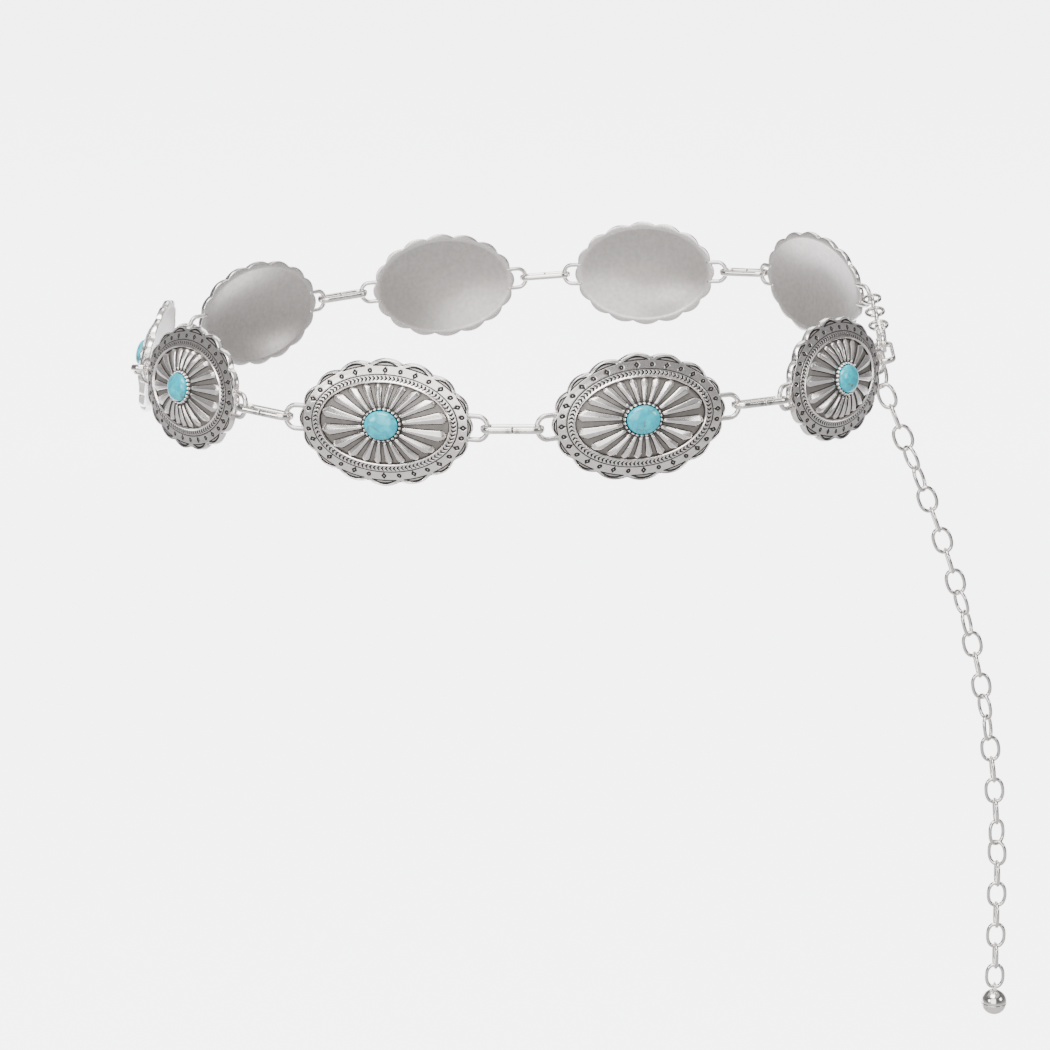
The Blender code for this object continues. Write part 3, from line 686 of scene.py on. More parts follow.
@dataclass
class Concho:
    """A domed oval casting: scalloped edge, stamped border, smooth rim, sunk field with petals, beaded bezel.

    A border ring is named by how far it lies inside the crowns of the scallops, measured at the top,
    and rings_long gives its half length. The other tuples are:

    cone_in, cone_level: the border's height at these distances from the crowns.
    edge_bead: how far in, rise and half width of the bead along the scallops.
    cusp_half: half width and half depth of the dark notch between two scallops.
    lozenge: half diagonals round and across the border. lozenge_lines: where its outer and inner
    outlines lie, as shares of them.
    chevron_stroke: half width of a chevron's arm at its point, and how much of it goes by the ends.
    rim_bead: rise and half width of the bright rim.
    petal_tip: where a petal starts to close and over how much, as shares of the field from the bezel.
    petal_share: its half width by the bezel as a share of half the pitch, and how much it gains.
    floor_tones: oxide between the petals near the rim, and how much is added by the bezel.
    bezel_foot, stone_half: half length and half height.
    bands: distances where the rows of mesh change their spacing.
    """

    half_length: float = 28.5
    half_height: float = 20.6
    rings_in: tuple[float, ...] = (0.0, 1.15, 2.15, 3.7, 5.0, 6.1, 7.6)
    rings_long: tuple[float, ...] = (28.5, 27.9, 27.2, 25.7, 23.95, 22.6, 21.3)
    cone_in: tuple[float, ...] = (0.0, 0.35, 0.9, 2.15, 3.7, 5.0, 6.9, 7.6)
    cone_level: tuple[float, ...] = (-1.0, -0.68, -0.52, -0.22, 0.08, 0.42, 0.90, 1.0)
    scallops: int = 16
    notch_length: float = 1.25
    notch_height: float = 1.4
    scallop_depth: float = 2.0
    edge_bead: tuple[float, float, float] = (0.5, 0.30, 0.32)
    lens_chord: float = 2.15
    lens_depth: float = 1.0
    lens_share: float = 0.74
    lens_line: float = 0.15
    lens_tone: float = 0.22
    lobe_reach: float = 4.5
    cusp_half: tuple[float, float] = (0.22, 0.6)
    cusp_in: float = 0.55
    marks_in: float = 3.7
    lozenge: tuple[float, float] = (0.82, 0.97)
    lozenge_lines: tuple[float, float] = (1.08, 0.37)
    dot_radius: float = 0.72
    dot_middle: float = 0.25
    line_in: float = 5.0
    line_half: float = 0.13
    line_tone: float = 0.94
    chevrons_in: float = 6.1
    chevron_half: float = 0.68
    chevron_stroke: tuple[float, float] = (0.31, 0.10)
    chevron_lean: float = 0.42
    chevrons: int = 90
    rim_in: float = 7.2
    rim_bead: tuple[float, float] = (0.40, 0.30)
    cut_depth: float = 0.26
    line_depth: float = 0.12
    plate_tone: float = 0.12
    field_in: float = 7.6
    field_foot: float = 0.10
    petals: int = 20
    petal_rise: float = 1.25
    petal_tip: tuple[float, float] = (0.985, 0.13)
    petal_share: tuple[float, float] = (0.58, 0.08)
    petal_tone: float = 0.16
    floor_tones: tuple[float, float] = (0.60, 0.25)
    bezel_foot: tuple[float, float] = (6.45, 5.6)
    stone_half: tuple[float, float] = (5.43, 4.6)
    stone_foot: float = 3.5
    girdle_top: float = 4.3
    stone_rise: float = 2.0
    seat_level: float = 3.2
    seat_play: float = 0.05
    bead_rise: float = 1.2
    beads: int = 24
    bead_tone: float = 0.95
    back_level: float = -2.4
    hollow_in: float = 3.2
    hollow_level: float = 1.6
    hollow_power: float = 2.2
    edge_round: float = 0.30
    apex: float = 33.9
    loop_bow: float = 3.24
    loop_wire: float = 1.4
    loop_bulge: float = 0.13
    loop_height: float = 8.9
    loop_level: float = -1.65
    loop_tone: float = 0.16
    columns: int = 512
    stone_columns: int = 72
    softness: float = 0.30
    bands: tuple[float, ...] = (2.6, 5.25, 6.95)
    rows: dict[str, int] = field(default_factory=lambda: {
        "back": 3, "edge": 5, "scallop": 16, "marks": 13, "chevron": 14, "rim": 6, "field": 22, "bezel": 8})

    def angles(self) -> np.ndarray:
        """The columns' angles, anticlockwise seen from the front, from the right end."""
        return TURN * np.arange(self.columns) / self.columns

    def tone(self, distance: np.ndarray) -> np.ndarray:
        """Groove tone of a line from the distance to its border: one half there, more inside."""
        return np.clip(0.5 - distance / (2 * self.softness), 0.0, 1.0)

    def ring_at(self, inwards: float) -> tuple[float, float]:
        """Half length and half height of the border ring at this distance from the crowns."""
        return float(np.interp(inwards, self.rings_in, self.rings_long)), self.half_height - inwards

    def border(self, inwards: np.ndarray) -> tuple[np.ndarray, ...]:
        """Stamped border from the edge to the rim.

        Height falls from the rim to the edge along a shallow cone, with a round bead along the
        scallops. Every engraved form is a distance to its border, below zero inside: two arcs that
        close to a lens in each scallop, lozenges and rings with a light middle, one thin oval line, and
        a band of chevrons, evenly spaced along the oval, whose arms trail behind their points.

        Args:
            inwards: Each row's distance from the outer oval.

        Returns:
            X, Y, height, patina and groove, each rows by columns.
        """
        angle = self.angles()[None, :]
        d = inwards[:, None]
        pitch = TURN / self.scallops
        lobe = ((angle / pitch + 0.5) % 1.0 - 0.5) * 2
        fade = np.clip(1 - d / self.scallop_depth, 0.0, 1.0)
        long_half = np.interp(d, self.rings_in, self.rings_long)
        x = (long_half - self.notch_length * fade * lobe ** 2) * np.cos(angle)
        y = (self.half_height - d - self.notch_height * fade * lobe ** 2) * np.sin(angle)
        bead_in, bead_rise, bead_half = self.edge_bead
        bead_in = bead_in + 0.14 * self.notch_height * fade * lobe ** 2
        z = (np.interp(d, self.cone_in, self.cone_level) + bead_rise * bump_at(d - bead_in, bead_half)
             + self.rim_bead[0] * bump_at(d - self.rim_in, self.rim_bead[1]))

        share = np.clip(np.abs(lobe) / self.lens_share, 0.0, 1.0)
        arc = self.lens_chord - self.lens_depth * (1 - share ** 2)
        outer_line = np.abs(d - arc) - self.lens_line * (2 - share ** 2)
        chord_line = np.abs(d - self.lens_chord) - self.lens_line
        lens_end = (np.abs(lobe) - self.lens_share - 0.02) * self.lobe_reach
        lens = np.maximum(np.minimum(outer_line, chord_line), lens_end)
        cusp = np.maximum((1 - np.abs(lobe)) * self.lobe_reach - self.cusp_half[0],
                          np.abs(d - self.cusp_in) - self.cusp_half[1])

        ring = self.ring_at(self.marks_in)
        reach = np.hypot(ring[0] * np.sin(angle), ring[1] * np.cos(angle)) * pitch / 2
        off = d - self.marks_in
        size = np.abs(lobe) * reach / self.lozenge[0] + np.abs(off) / self.lozenge[1]
        border, middle = self.lozenge_lines
        lozenge = 0.6 * np.maximum(size - border, middle - size)
        from_dot = np.hypot((1 - np.abs(lobe)) * reach, off)
        dot = np.maximum(from_dot - self.dot_radius, self.dot_middle - from_dot)

        band = self.ring_at(self.chevrons_in)
        fine = np.linspace(0.0, TURN, 2881)
        steps = np.hypot(*np.diff([band[0] * np.cos(fine), band[1] * np.sin(fine)]))
        walked = np.concatenate([[0.0], np.cumsum(steps)])
        spacing = walked[-1] / self.chevrons
        across = np.abs(d - self.chevrons_in) / self.chevron_half
        phase = (np.interp(angle, fine, walked) / spacing - self.chevron_lean * across) % 1.0
        stroke = self.chevron_stroke[0] - self.chevron_stroke[1] * across
        chevron = np.maximum(np.minimum(phase, 1 - phase) * spacing - stroke,
                             (across - 1) * self.chevron_half)

        dark_marks = self.tone(np.minimum.reduce([lens, lozenge, dot, chevron, cusp]))
        line = np.broadcast_to(self.tone(np.abs(d - self.line_in) - self.line_half), dark_marks.shape)
        z = (z - self.cut_depth * step_at(dark_marks, 0.35, 0.9)
             - self.line_depth * step_at(line, 0.35, 0.7))
        inside = step_at(self.lens_chord - d, 0.0, 0.2) * step_at(d - arc, 0.0, 0.2) * (share < 1)
        between = step_at(d, 1.0, 1.4) * (1 - step_at(d, self.bands[2] - 0.2, self.bands[2]))
        patina = self.plate_tone * between + self.lens_tone * inside
        groove = np.maximum(dark_marks, self.line_tone * line)
        return x, y, z, patina + 0 * angle, groove

    def sunk_field(self, share: np.ndarray) -> tuple[np.ndarray, ...]:
        """The sunk field from the rim to the bezel.

        Its floor rises as a shallow dome. Petals stand at even true angles. Each is a roof over a wedge:
        full height on its centre line, half at its sides, nothing beyond. The wedge's half width is a
        steady share of the pitch, and closes to a point at the rim.

        Args:
            share: 0 at the field's edge to 1 at the bezel.

        Returns:
            X, Y, height, patina and groove, each rows by columns.
        """
        angle = self.angles()[None, :]
        s = share[:, None]
        outer = (self.rings_long[-1], self.half_height - self.field_in)
        x = (outer[0] + (self.bezel_foot[0] - outer[0]) * s) * np.cos(angle)
        y = (outer[1] + (self.bezel_foot[1] - outer[1]) * s) * np.sin(angle)
        floor = self.field_foot + (self.seat_level - 0.30) * (1 - (1 - s) ** 1.35) ** 0.95
        out = 1 - s
        pitch = TURN / self.petals
        from_axis = np.abs((np.arctan2(y, x) / pitch) % 1.0 - 0.5) * 2
        tip = np.clip((self.petal_tip[0] - out) / self.petal_tip[1], 0.0, 1.0) ** 0.6
        width = (self.petal_share[0] + self.petal_share[1] * out) * tip + 1e-4
        beyond = (from_axis - width) * pitch / 2 * np.hypot(x, y)
        roof = np.clip(1 - from_axis / width, 0.0, 1.0)
        wall = 1 - step_at(beyond, -0.16, 0.06)
        end = step_at(out, 0.0, 0.10)
        rise = self.petal_rise * (0.55 + 0.45 * step_at(out, 0.1, 0.7))
        z = floor + rise * end * (0.45 * wall + 0.55 * roof * np.clip(tip * 1.5, 0, 1))
        # Lighter lines along each petal's crest and edges: partly oxide wiped off the high points, partly painted
        # highlight
        wear_and_highlight = np.maximum(bump_at(from_axis, 0.10), bump_at(beyond + 0.16, 0.12))
        sunk = self.floor_tones[0] + self.floor_tones[1] * step_at(s, 0.6, 1.0)
        patina = self.petal_tone * wall * (1 - wear_and_highlight) + (1 - wall) * sunk
        # Dark lines at each petal's foot, along the field's outer edge and round the bezel foot: partly oxide in
        # the crease, partly painted shade where the walls shadow the floor
        sides = np.abs(beyond - 0.05) - 0.08
        edge = s * (outer[1] - self.bezel_foot[1]) - 0.16
        foot = (1 - s) * (outer[1] - self.bezel_foot[1]) - 0.12
        groove = self.tone(np.minimum(np.minimum(sides, edge), foot + 0 * angle))
        return x, y, z, patina, groove

    def bezel(self, share: np.ndarray) -> tuple[np.ndarray, ...]:
        """The beaded bezel: a ring of half balls round the stone.

        Args:
            share: 0 at its outer foot to 1 at the stone.

        Returns:
            X, Y, height, patina and groove, each rows by columns.
        """
        angle = self.angles()[None, :]
        s = share[:, None]
        inner = (self.stone_half[0] + self.seat_play, self.stone_half[1] + self.seat_play)
        x = (self.bezel_foot[0] + (inner[0] - self.bezel_foot[0]) * s) * np.cos(angle)
        y = (self.bezel_foot[1] + (inner[1] - self.bezel_foot[1]) * s) * np.sin(angle)
        around = np.abs((self.beads * angle / TURN) % 1.0 - 0.5) * 2
        size = np.hypot(around / 0.96, (2 * s - 1))
        z = self.seat_level - 0.20 + 0.2 * s + self.bead_rise * np.sqrt(np.clip(1 - size ** 2, 0.0, 1.0))
        patina = self.bead_tone * step_at(size, 0.72, 0.98)
        return x, y, z, patina, 0 * patina

    def plate(self) -> Mesh:
        """The casting's skin, from the middle of its hollow back, over the edge, to under the stone.

        Returns:
            The mesh in the concho's frame.
        """
        angle = self.angles()[None, :]
        n = self.rows
        hollow = np.linspace(0.25, 1.0, 6)[:, None]
        back_x = (self.half_length - self.hollow_in) * hollow * np.cos(angle)
        back_y = (self.half_height - self.hollow_in) * hollow * np.sin(angle)
        sunk = hollow ** self.hollow_power
        dome = self.hollow_level * (1 - sunk) + (self.back_level + 0.25) * sunk + 0 * angle
        strips = [(back_x, back_y, dome, np.full_like(back_x, 0.35), 0 * back_x)]

        flat_x, flat_y = self.border(np.linspace(self.bands[0], 0.35, n["back"]))[:2]
        strips.append((flat_x, flat_y, np.full_like(flat_x, self.back_level), np.full_like(flat_x, 0.2),
                       0 * flat_x))
        turn = np.linspace(-math.pi / 2, math.pi / 2, n["edge"] + 2)[1:-1]
        edge = self.border(self.edge_round * (1 - np.cos(turn)))
        middle = (self.back_level - 0.95) / 2
        level = middle + (middle - self.back_level) * np.sin(turn)[:, None] + 0 * angle
        strips.append((edge[0], edge[1], level, 0 * level, 0 * level))

        scallop_end, marks_end, chevron_end = self.bands
        inwards = [np.linspace(self.edge_round, scallop_end, n["scallop"], endpoint=False),
                   np.linspace(scallop_end, marks_end, n["marks"], endpoint=False),
                   np.linspace(marks_end, chevron_end, n["chevron"], endpoint=False),
                   np.linspace(chevron_end, self.field_in, n["rim"])]
        strips.append(self.border(np.concatenate(inwards)))
        strips.append(self.sunk_field(np.linspace(0.0, 1.0, n["field"]) ** 1.15))
        strips.append(self.bezel(np.linspace(0.0, 1.0, n["bezel"] + 1)[1:]))
        under = np.array([0.9, 0.4])[:, None]
        ux, uy = self.stone_half[0] * under * np.cos(angle), self.stone_half[1] * under * np.sin(angle)
        strips.append((ux, uy, np.full_like(ux, self.seat_level), np.ones_like(ux), 0 * ux))
        x, y, z, patina, groove = (np.concatenate(parts) for parts in zip(*strips))
        return grid_mesh(np.stack([x, y, z], axis=-1), np.stack([patina, groove], axis=-1))

    def end_loop(self, end: End) -> Mesh:
        """The D-shaped loop cast on one end: a half oval bow between two straight roots under the plate.

        Args:
            end: Which end.

        Returns:
            The mesh in the concho's frame.
        """
        half = (self.loop_height - self.loop_wire) / 2
        start = self.apex - self.loop_wire / 2 - self.loop_bow
        angle = np.linspace(-math.pi / 2, math.pi / 2, 25)
        roots = np.linspace(self.half_length - 3.0, start, 4, endpoint=False)
        path = np.concatenate([
            np.column_stack([roots, np.full(4, -half)]),
            np.column_stack([start + self.loop_bow * np.cos(angle), half * np.sin(angle)]),
            np.column_stack([roots[::-1], np.full(4, half)])])
        thick = np.full(len(path), self.loop_wire / 2 + self.loop_bulge)
        points = swept(path, thick, thick, 12, False)
        points[..., 2] += self.loop_level
        if end is End.LEFT:
            points[..., :2] *= -1
        return grid_mesh(points, plain_tones(np.full(points.shape[:2], self.loop_tone)))

    def cabochon(self) -> Mesh:
        """The stone: a short girdle and a low dome, an ellipse quadrant in section.

        Returns:
            The mesh in the concho's frame.
        """
        angle = TURN * np.arange(self.stone_columns) / self.stone_columns
        climb = np.linspace(0.0, math.pi / 2, 15)[:-1]
        share = np.concatenate([[0.3, 0.93, 0.985, 1.0, 1.0], np.cos(climb[1:]) ** 0.85])
        girdle = self.stone_foot + np.array([0.0, 0.0, 0.04, 0.15])
        level = np.concatenate([girdle, [self.girdle_top],
                                self.girdle_top + self.stone_rise * np.sin(climb[1:])])
        points = np.stack([self.stone_half[0] * share[:, None] * np.cos(angle),
                           self.stone_half[1] * share[:, None] * np.sin(angle),
                           level[:, None] + 0 * angle], axis=-1)
        return grid_mesh(points)

    def read_frame(self, node: bpy.types.Object) -> Frame:
        """Where this concho sits: Z is zero 2.4 mm above its flat back.

        Args:
            node: The CAD node.

        Returns:
            The concho's frame.
        """
        place = flat_piece_frame(node, True)
        depth = ((node_points(node) - place.centre) @ place.axes)[:, 2].min()
        return Frame(place.centre + place.axes[:, 2] * (depth - self.back_level * MM), place.axes)

    def loop_apex(self, place: Frame, end: End) -> np.ndarray:
        """The outermost point of the loop on one end, in metres."""
        return place.put(np.array([[end.value * self.apex, 0.0, self.loop_level]]))[0]

    def build(self, nodes: dict[str, bpy.types.Object]) -> dict[Around, Frame]:
        """Make all conchos and their stones.

        Args:
            nodes: The CAD nodes.

        Returns:
            Each concho's frame.
        """
        casting = join([self.plate(), self.end_loop(End.RIGHT), self.end_loop(End.LEFT)])
        stone = self.cabochon()
        frames = {}
        for spot in Around:
            casting_node, stone_node = f"concho_{spot.value}", f"stone_{spot.value}"
            place = self.read_frame(nodes[casting_node])
            frames[spot] = place
            silver = AntiqueSilver().build(f"antique_silver_{spot.value}")
            add_piece(f"{casting_node}_casting", placed(casting, place), silver, ROOT_BODY, [casting_node])
            turquoise = TurquoiseStone().build(f"turquoise_{spot.value}")
            add_piece(f"{stone_node}_cabochon", placed(stone, place), turquoise, ROOT_BODY, [stone_node])
        return frames


@dataclass
class OvalLinks:
    """The oval wire links between the conchos and the end ring, each closed by a butt seam on its outer side.

    wire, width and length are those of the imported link. flat is the drawn wire's size in the link's
    plane and across it.
    """

    wire: float = 1.8
    width: float = 7.8
    length: float = 21.05
    flat: tuple[float, float] = (1.45, 2.1)
    squareness: float = 2.6
    seam: float = 0.34
    seam_pinch: tuple[float, float] = (0.3, 0.12)
    seam_tone: float = 0.95
    seam_reach: float = 3.2
    seam_points: int = 25
    streak_at: float = 1.5
    streak_half: float = 0.75
    streak_tone: float = 0.55
    steps: int = 96
    sides: int = 16
    count: int = 8

    def link(self) -> Mesh:
        """One link of slightly flattened wire.

        The seam is a bell-shaped groove in the middle of the +Y side. Points crowd there, by the cube
        of an even spacing, so that it is as narrow as the real one. Oxide stays in the groove and in a
        streak on each side of it.

        Returns:
            The mesh in the link's frame.
        """
        thin, tall = self.flat
        path = oval_loop(self.length - 2 * (self.wire - thin), self.width, thin, self.steps)
        span = self.seam_reach * np.linspace(-1.0, 1.0, self.seam_points) ** 3
        near = np.column_stack([-span, np.full(len(span), (self.width - thin) / 2)])
        keep = (np.abs(path[:, 0]) > self.seam_reach + 0.1) | (path[:, 1] < 0)
        first = int(np.argmax(keep))
        path = np.concatenate([near, np.roll(path, -first, axis=0)[np.roll(keep, -first)]])
        groove = np.zeros(len(path))
        groove[:len(span)] = bump_at(span, self.seam / 2)
        streak = np.zeros(len(path))
        streak[:len(span)] = bump_at(np.abs(span) - self.streak_at, self.streak_half)
        outwards = np.clip(-1.6 * np.cos(TURN * np.arange(self.sides) / self.sides) - 0.4, 0.0, 1.0)
        patina = np.maximum(self.seam_tone * groove[:, None],
                            self.streak_tone * streak[:, None] * outwards)
        points = swept(path, thin / 2 * (1 - self.seam_pinch[0] * groove),
                       tall / 2 * (1 - self.seam_pinch[1] * groove), self.sides, True, self.squareness)
        return grid_mesh(points, plain_tones(patina), True)

    def build(self, nodes: dict[str, bpy.types.Object]) -> None:
        """Make all links and the end ring.

        Args:
            nodes: The CAD nodes.
        """
        link = self.link()
        for name in [f"link_{number}" for number in range(1, self.count + 1)] + ["end_ring"]:
            place = flat_piece_frame(nodes[name], False)
            plate = PolishedPlate().build(f"silver_plate_{name}")
            add_piece(f"{name}_wire", placed(link, place), plate, ROOT_BODY, [name])


@dataclass(frozen=True)
class Closure:
    """The closing line, and where the clasp and the first hanging link hold on to the end ring."""

    frames: dict[Around, Frame]
    concho: Concho
    links: OvalLinks
    clasp: LobsterClasp
    chain: FineChain
    hook_aside: float = 0.7
    hanging_play: float = 1.1

    def ends(self) -> tuple[np.ndarray, np.ndarray]:
        """The points of the right concho's loop and of the last one's that the strand joins, in metres."""
        return (self.concho.loop_apex(self.frames[Around.RIGHT], End.RIGHT),
                self.concho.loop_apex(self.frames[Around.SIDE_RIGHT], End.LEFT))

    def line(self) -> Frame:
        """The closing line: X runs from the right concho's loop to the last one's, Y outwards."""
        start, end = self.ends()
        outwards = self.frames[Around.RIGHT].axes[:, 2] + self.frames[Around.SIDE_RIGHT].axes[:, 2]
        return frame_from(end - start, outwards, start)

    def ring_middle(self) -> float:
        """How far the end ring's middle lies along the line."""
        return (self.links.length / 2 - self.links.wire) - self.concho.loop_wire - CLEARANCE

    def clasp_frame(self) -> Frame:
        """The clasp's place: its origin in the bend of the hook, X to the eye, Y up, Z outwards.

        Returns:
            The clasp's frame.
        """
        line, end = self.line(), self.ends()[1]
        inner_radius = self.links.width / 2 - self.links.wire
        reach = inner_radius - self.clasp.wire / 2 - CLEARANCE
        inside = math.sqrt(max(reach ** 2 - self.hook_aside ** 2, 0.0)) + self.clasp.wire / 2
        along = self.ring_middle() + (self.links.length - self.links.width) / 2 + inside
        hook = line.put(np.array([[along, self.hook_aside, 0.0]]))[0]
        up = np.cross(end - hook, line.axes[:, 1])
        return frame_from(end - hook, up * np.sign(up[2]), hook)

    def first_tail_link(self) -> np.ndarray:
        """The middle of the first hanging link, which hangs over the ring's far wire beside the hook.

        Returns:
            The point in metres.
        """
        straight = (self.links.length - self.links.width) / 2
        bend = (self.links.width - self.links.wire) / 2
        aside = self.hook_aside - self.clasp.wire / 2 - self.chain.wire / 2 - self.hanging_play * CLEARANCE
        along = self.ring_middle() + straight + math.sqrt(bend ** 2 - aside ** 2)
        over = self.line().put(np.array([[along, aside, 0.0]]))[0]
        drop = self.links.wire / 2 + CLEARANCE + self.chain.wire - self.chain.length / 2
        return over + np.array([0.0, 0.0, drop * MM])


@dataclass
class LobsterClasp:
    """A cast lobster clasp: a claw-shaped hook, a slotted body, an eye, and a spring lever on a pin.

    underside, top and cheeks give the body's profile as shares of its half height and half thickness,
    at shares of its length from the mouth to the eye.
    """

    wire: float = 1.6
    bend: float = 2.9
    tip: float = 4.4
    start: float = 9.0
    length: float = 7.2
    thickness: float = 3.4
    underside: tuple[tuple[float, ...], ...] = ((0.0, 0.5, 0.88, 1.0), (-1.0, -1.0, -0.5, -0.25))
    top: tuple[tuple[float, ...], ...] = ((0.0, 0.15, 0.7, 0.88, 1.0), (0.55, 0.92, 0.92, 0.68, 0.25))
    cheeks: tuple[tuple[float, ...], ...] = ((0.0, 0.08, 0.7, 1.0), (0.82, 1.0, 1.0, 0.55))
    rounding: float = 0.35
    eye_bore: float = 2.5
    eye_wire: float = 1.2
    pin_radius: float = 0.5
    lever_thickness: float = 1.4
    lever_depth: float = 1.5
    lever_tab: float = 1.8
    pivot: tuple[float, float] = (12.0, 2.4)

    def hook(self) -> Mesh:
        """The claw: an oval bar that thickens from its tip, round the bend, into the body.

        Returns:
            The mesh in the clasp's frame.
        """
        turn = np.linspace(math.pi / 2, 3 * math.pi / 2, 33)
        centre = self.bend - self.wire / 2
        bow = np.column_stack([centre + self.bend * np.cos(turn), self.bend * np.sin(turn)])
        lead = np.column_stack([np.linspace(self.tip, centre, 6, endpoint=False), np.full(6, self.bend)])
        tail = np.column_stack([np.linspace(centre, self.start + 3.0, 15)[1:], np.full(14, -self.bend)])
        path = np.concatenate([lead, bow, tail])
        share = np.linspace(0.0, 1.0, len(path))
        width = self.wire / 2 * (0.86 + 0.22 * share)
        height = self.wire / 2 * (0.92 + 0.40 * share ** 1.5)
        width[:3] *= (0.45, 0.8, 0.95)
        height[:3] *= (0.45, 0.8, 0.95)
        return grid_mesh(swept(path, width, height, 20, False, 2.3))

    def body(self) -> Mesh:
        """The slotted body: a U-shaped section carried from the mouth to the eye.

        The section's outline goes up one cheek, down into the slot, and up the other. The slot's depth
        falls to nothing towards the eye.

        Returns:
            The mesh in the clasp's frame.
        """
        half = self.bend + self.wire / 2
        x = np.linspace(0.0, 1.0, 25)
        low = np.interp(x, *self.underside) * half
        high = np.interp(x, *self.top) * half
        thick = self.thickness / 2 * np.interp(x, *self.cheeks)
        slot = (self.lever_thickness / 2 + CLEARANCE) * np.ones_like(x)
        slot_end = (self.pivot[0] + self.lever_depth + 2 * CLEARANCE - self.start) / self.length
        floor = np.where(x <= slot_end, 0.0, high - 0.02)
        r = self.rounding
        columns = []
        for side in (1, -1):
            outline = [(thick, low + r), (thick, (low + high) / 2), (thick, high - r),
                       (thick - r * 0.3, high - r * 0.3), (thick - r, high), (slot + 0.05, high),
                       (slot, high - 0.1 * (high - floor)), (slot, floor)]
            if side < 0:
                outline = outline[::-1]
            columns += [(side * z, y) for z, y in outline]
        columns += [(-thick + r * 0.3, low + r * 0.3), (-thick + r, low), (thick - r, low),
                    (thick - r * 0.3, low + r * 0.3)]
        even = np.ones_like(x)
        points = np.stack([np.column_stack([self.start + self.length * x, y * even, z * even])
                           for z, y in columns], axis=1)
        return grid_mesh(points)

    def eye(self) -> Mesh:
        """The eye: a round ring."""
        radius = (self.eye_bore + self.eye_wire) / 2
        middle = self.start + self.length + self.eye_bore / 2 + self.eye_wire / 2
        angle = TURN * np.arange(40) / 40
        path = np.column_stack([middle + radius * np.cos(angle), radius * np.sin(angle)])
        thick = np.full(40, self.eye_wire / 2)
        return grid_mesh(swept(path, thick, thick, 12, True), wrap_rows=True)

    def pin(self) -> Mesh:
        """The lever's pin: a round bar with a low domed head flush on each cheek."""
        angle = TURN * np.arange(20) / 20
        radius = self.pin_radius * np.array([0.3, 0.7, 1.0, 1.0, 1.0, 0.7, 0.3])
        level = np.array([-1.0, -0.985, -0.95, 0.0, 0.95, 0.985, 1.0]) * (self.thickness / 2 + 0.06)
        points = np.stack([self.pivot[0] + radius[:, None] * np.cos(angle),
                           self.pivot[1] + radius[:, None] * np.sin(angle),
                           level[:, None] + 0 * angle], axis=-1)
        return grid_mesh(points)

    def lever(self) -> Mesh:
        """The lever: a flat plate with rounded edges, a round heel on the pin and a thumb tab.

        Its outline is smoothed, and three layers on each side draw in towards its middle line.

        Returns:
            The mesh in the clasp's frame.
        """
        eye = self.lever_depth
        px, py = self.pivot
        tip = self.tip + 1.5 * CLEARANCE - px
        low = self.bend - eye / 2 - py
        high = self.bend + eye / 2 - py
        corners = np.array([
            (tip, low), (-1.2 * eye, low * 1.4), (-0.65 * eye, -0.8 * eye), (0.0, -eye),
            (0.7 * eye, -0.8 * eye), (eye, 0.0), (eye, high), (0.75 * eye, high + self.lever_tab),
            (0.15 * eye, high + self.lever_tab), (-0.4 * eye, high), (tip, high)])
        following = np.roll(corners, -1, axis=0)
        steps = np.linspace(0.12, 0.88, 6)
        outline = (corners[:, None] + (following - corners)[:, None] * steps[None, :, None]).reshape(-1, 2)
        outline = 0.5 * outline + 0.25 * (np.roll(outline, 1, axis=0) + np.roll(outline, -1, axis=0))
        tangent = np.roll(outline, -1, axis=0) - np.roll(outline, 1, axis=0)
        normal = np.column_stack([tangent[:, 1], -tangent[:, 0]])
        normal /= np.linalg.norm(normal, axis=1, keepdims=True)
        half = self.lever_thickness / 2
        layers = [(-half, 0.45), (-half, 0.2), (-half * 0.8, 0.05), (-half * 0.5, 0.0), (half * 0.5, 0.0),
                  (half * 0.8, 0.05), (half, 0.2), (half, 0.45)]
        points = np.stack([np.column_stack([outline - normal * inset, np.full(len(outline), level)])
                           for level, inset in layers])
        points[..., 0] += px
        points[..., 1] += py
        return grid_mesh(points)

    def build(self, place: Frame) -> None:
        """Make the clasp's body and its lever.

        Args:
            place: The clasp's frame.
        """
        plate = PolishedPlate().build("silver_plate_clasp_body")
        body = join([self.body(), self.hook(), self.eye(), self.pin()])
        add_piece("clasp_body_casting", placed(body, place), plate, ROOT_BODY, ["clasp_body"])
        plate = PolishedPlate().build("silver_plate_clasp_lever")
        add_piece("clasp_lever_plate", placed(self.lever(), place), plate, LEVER_BODY, ["clasp_lever"])


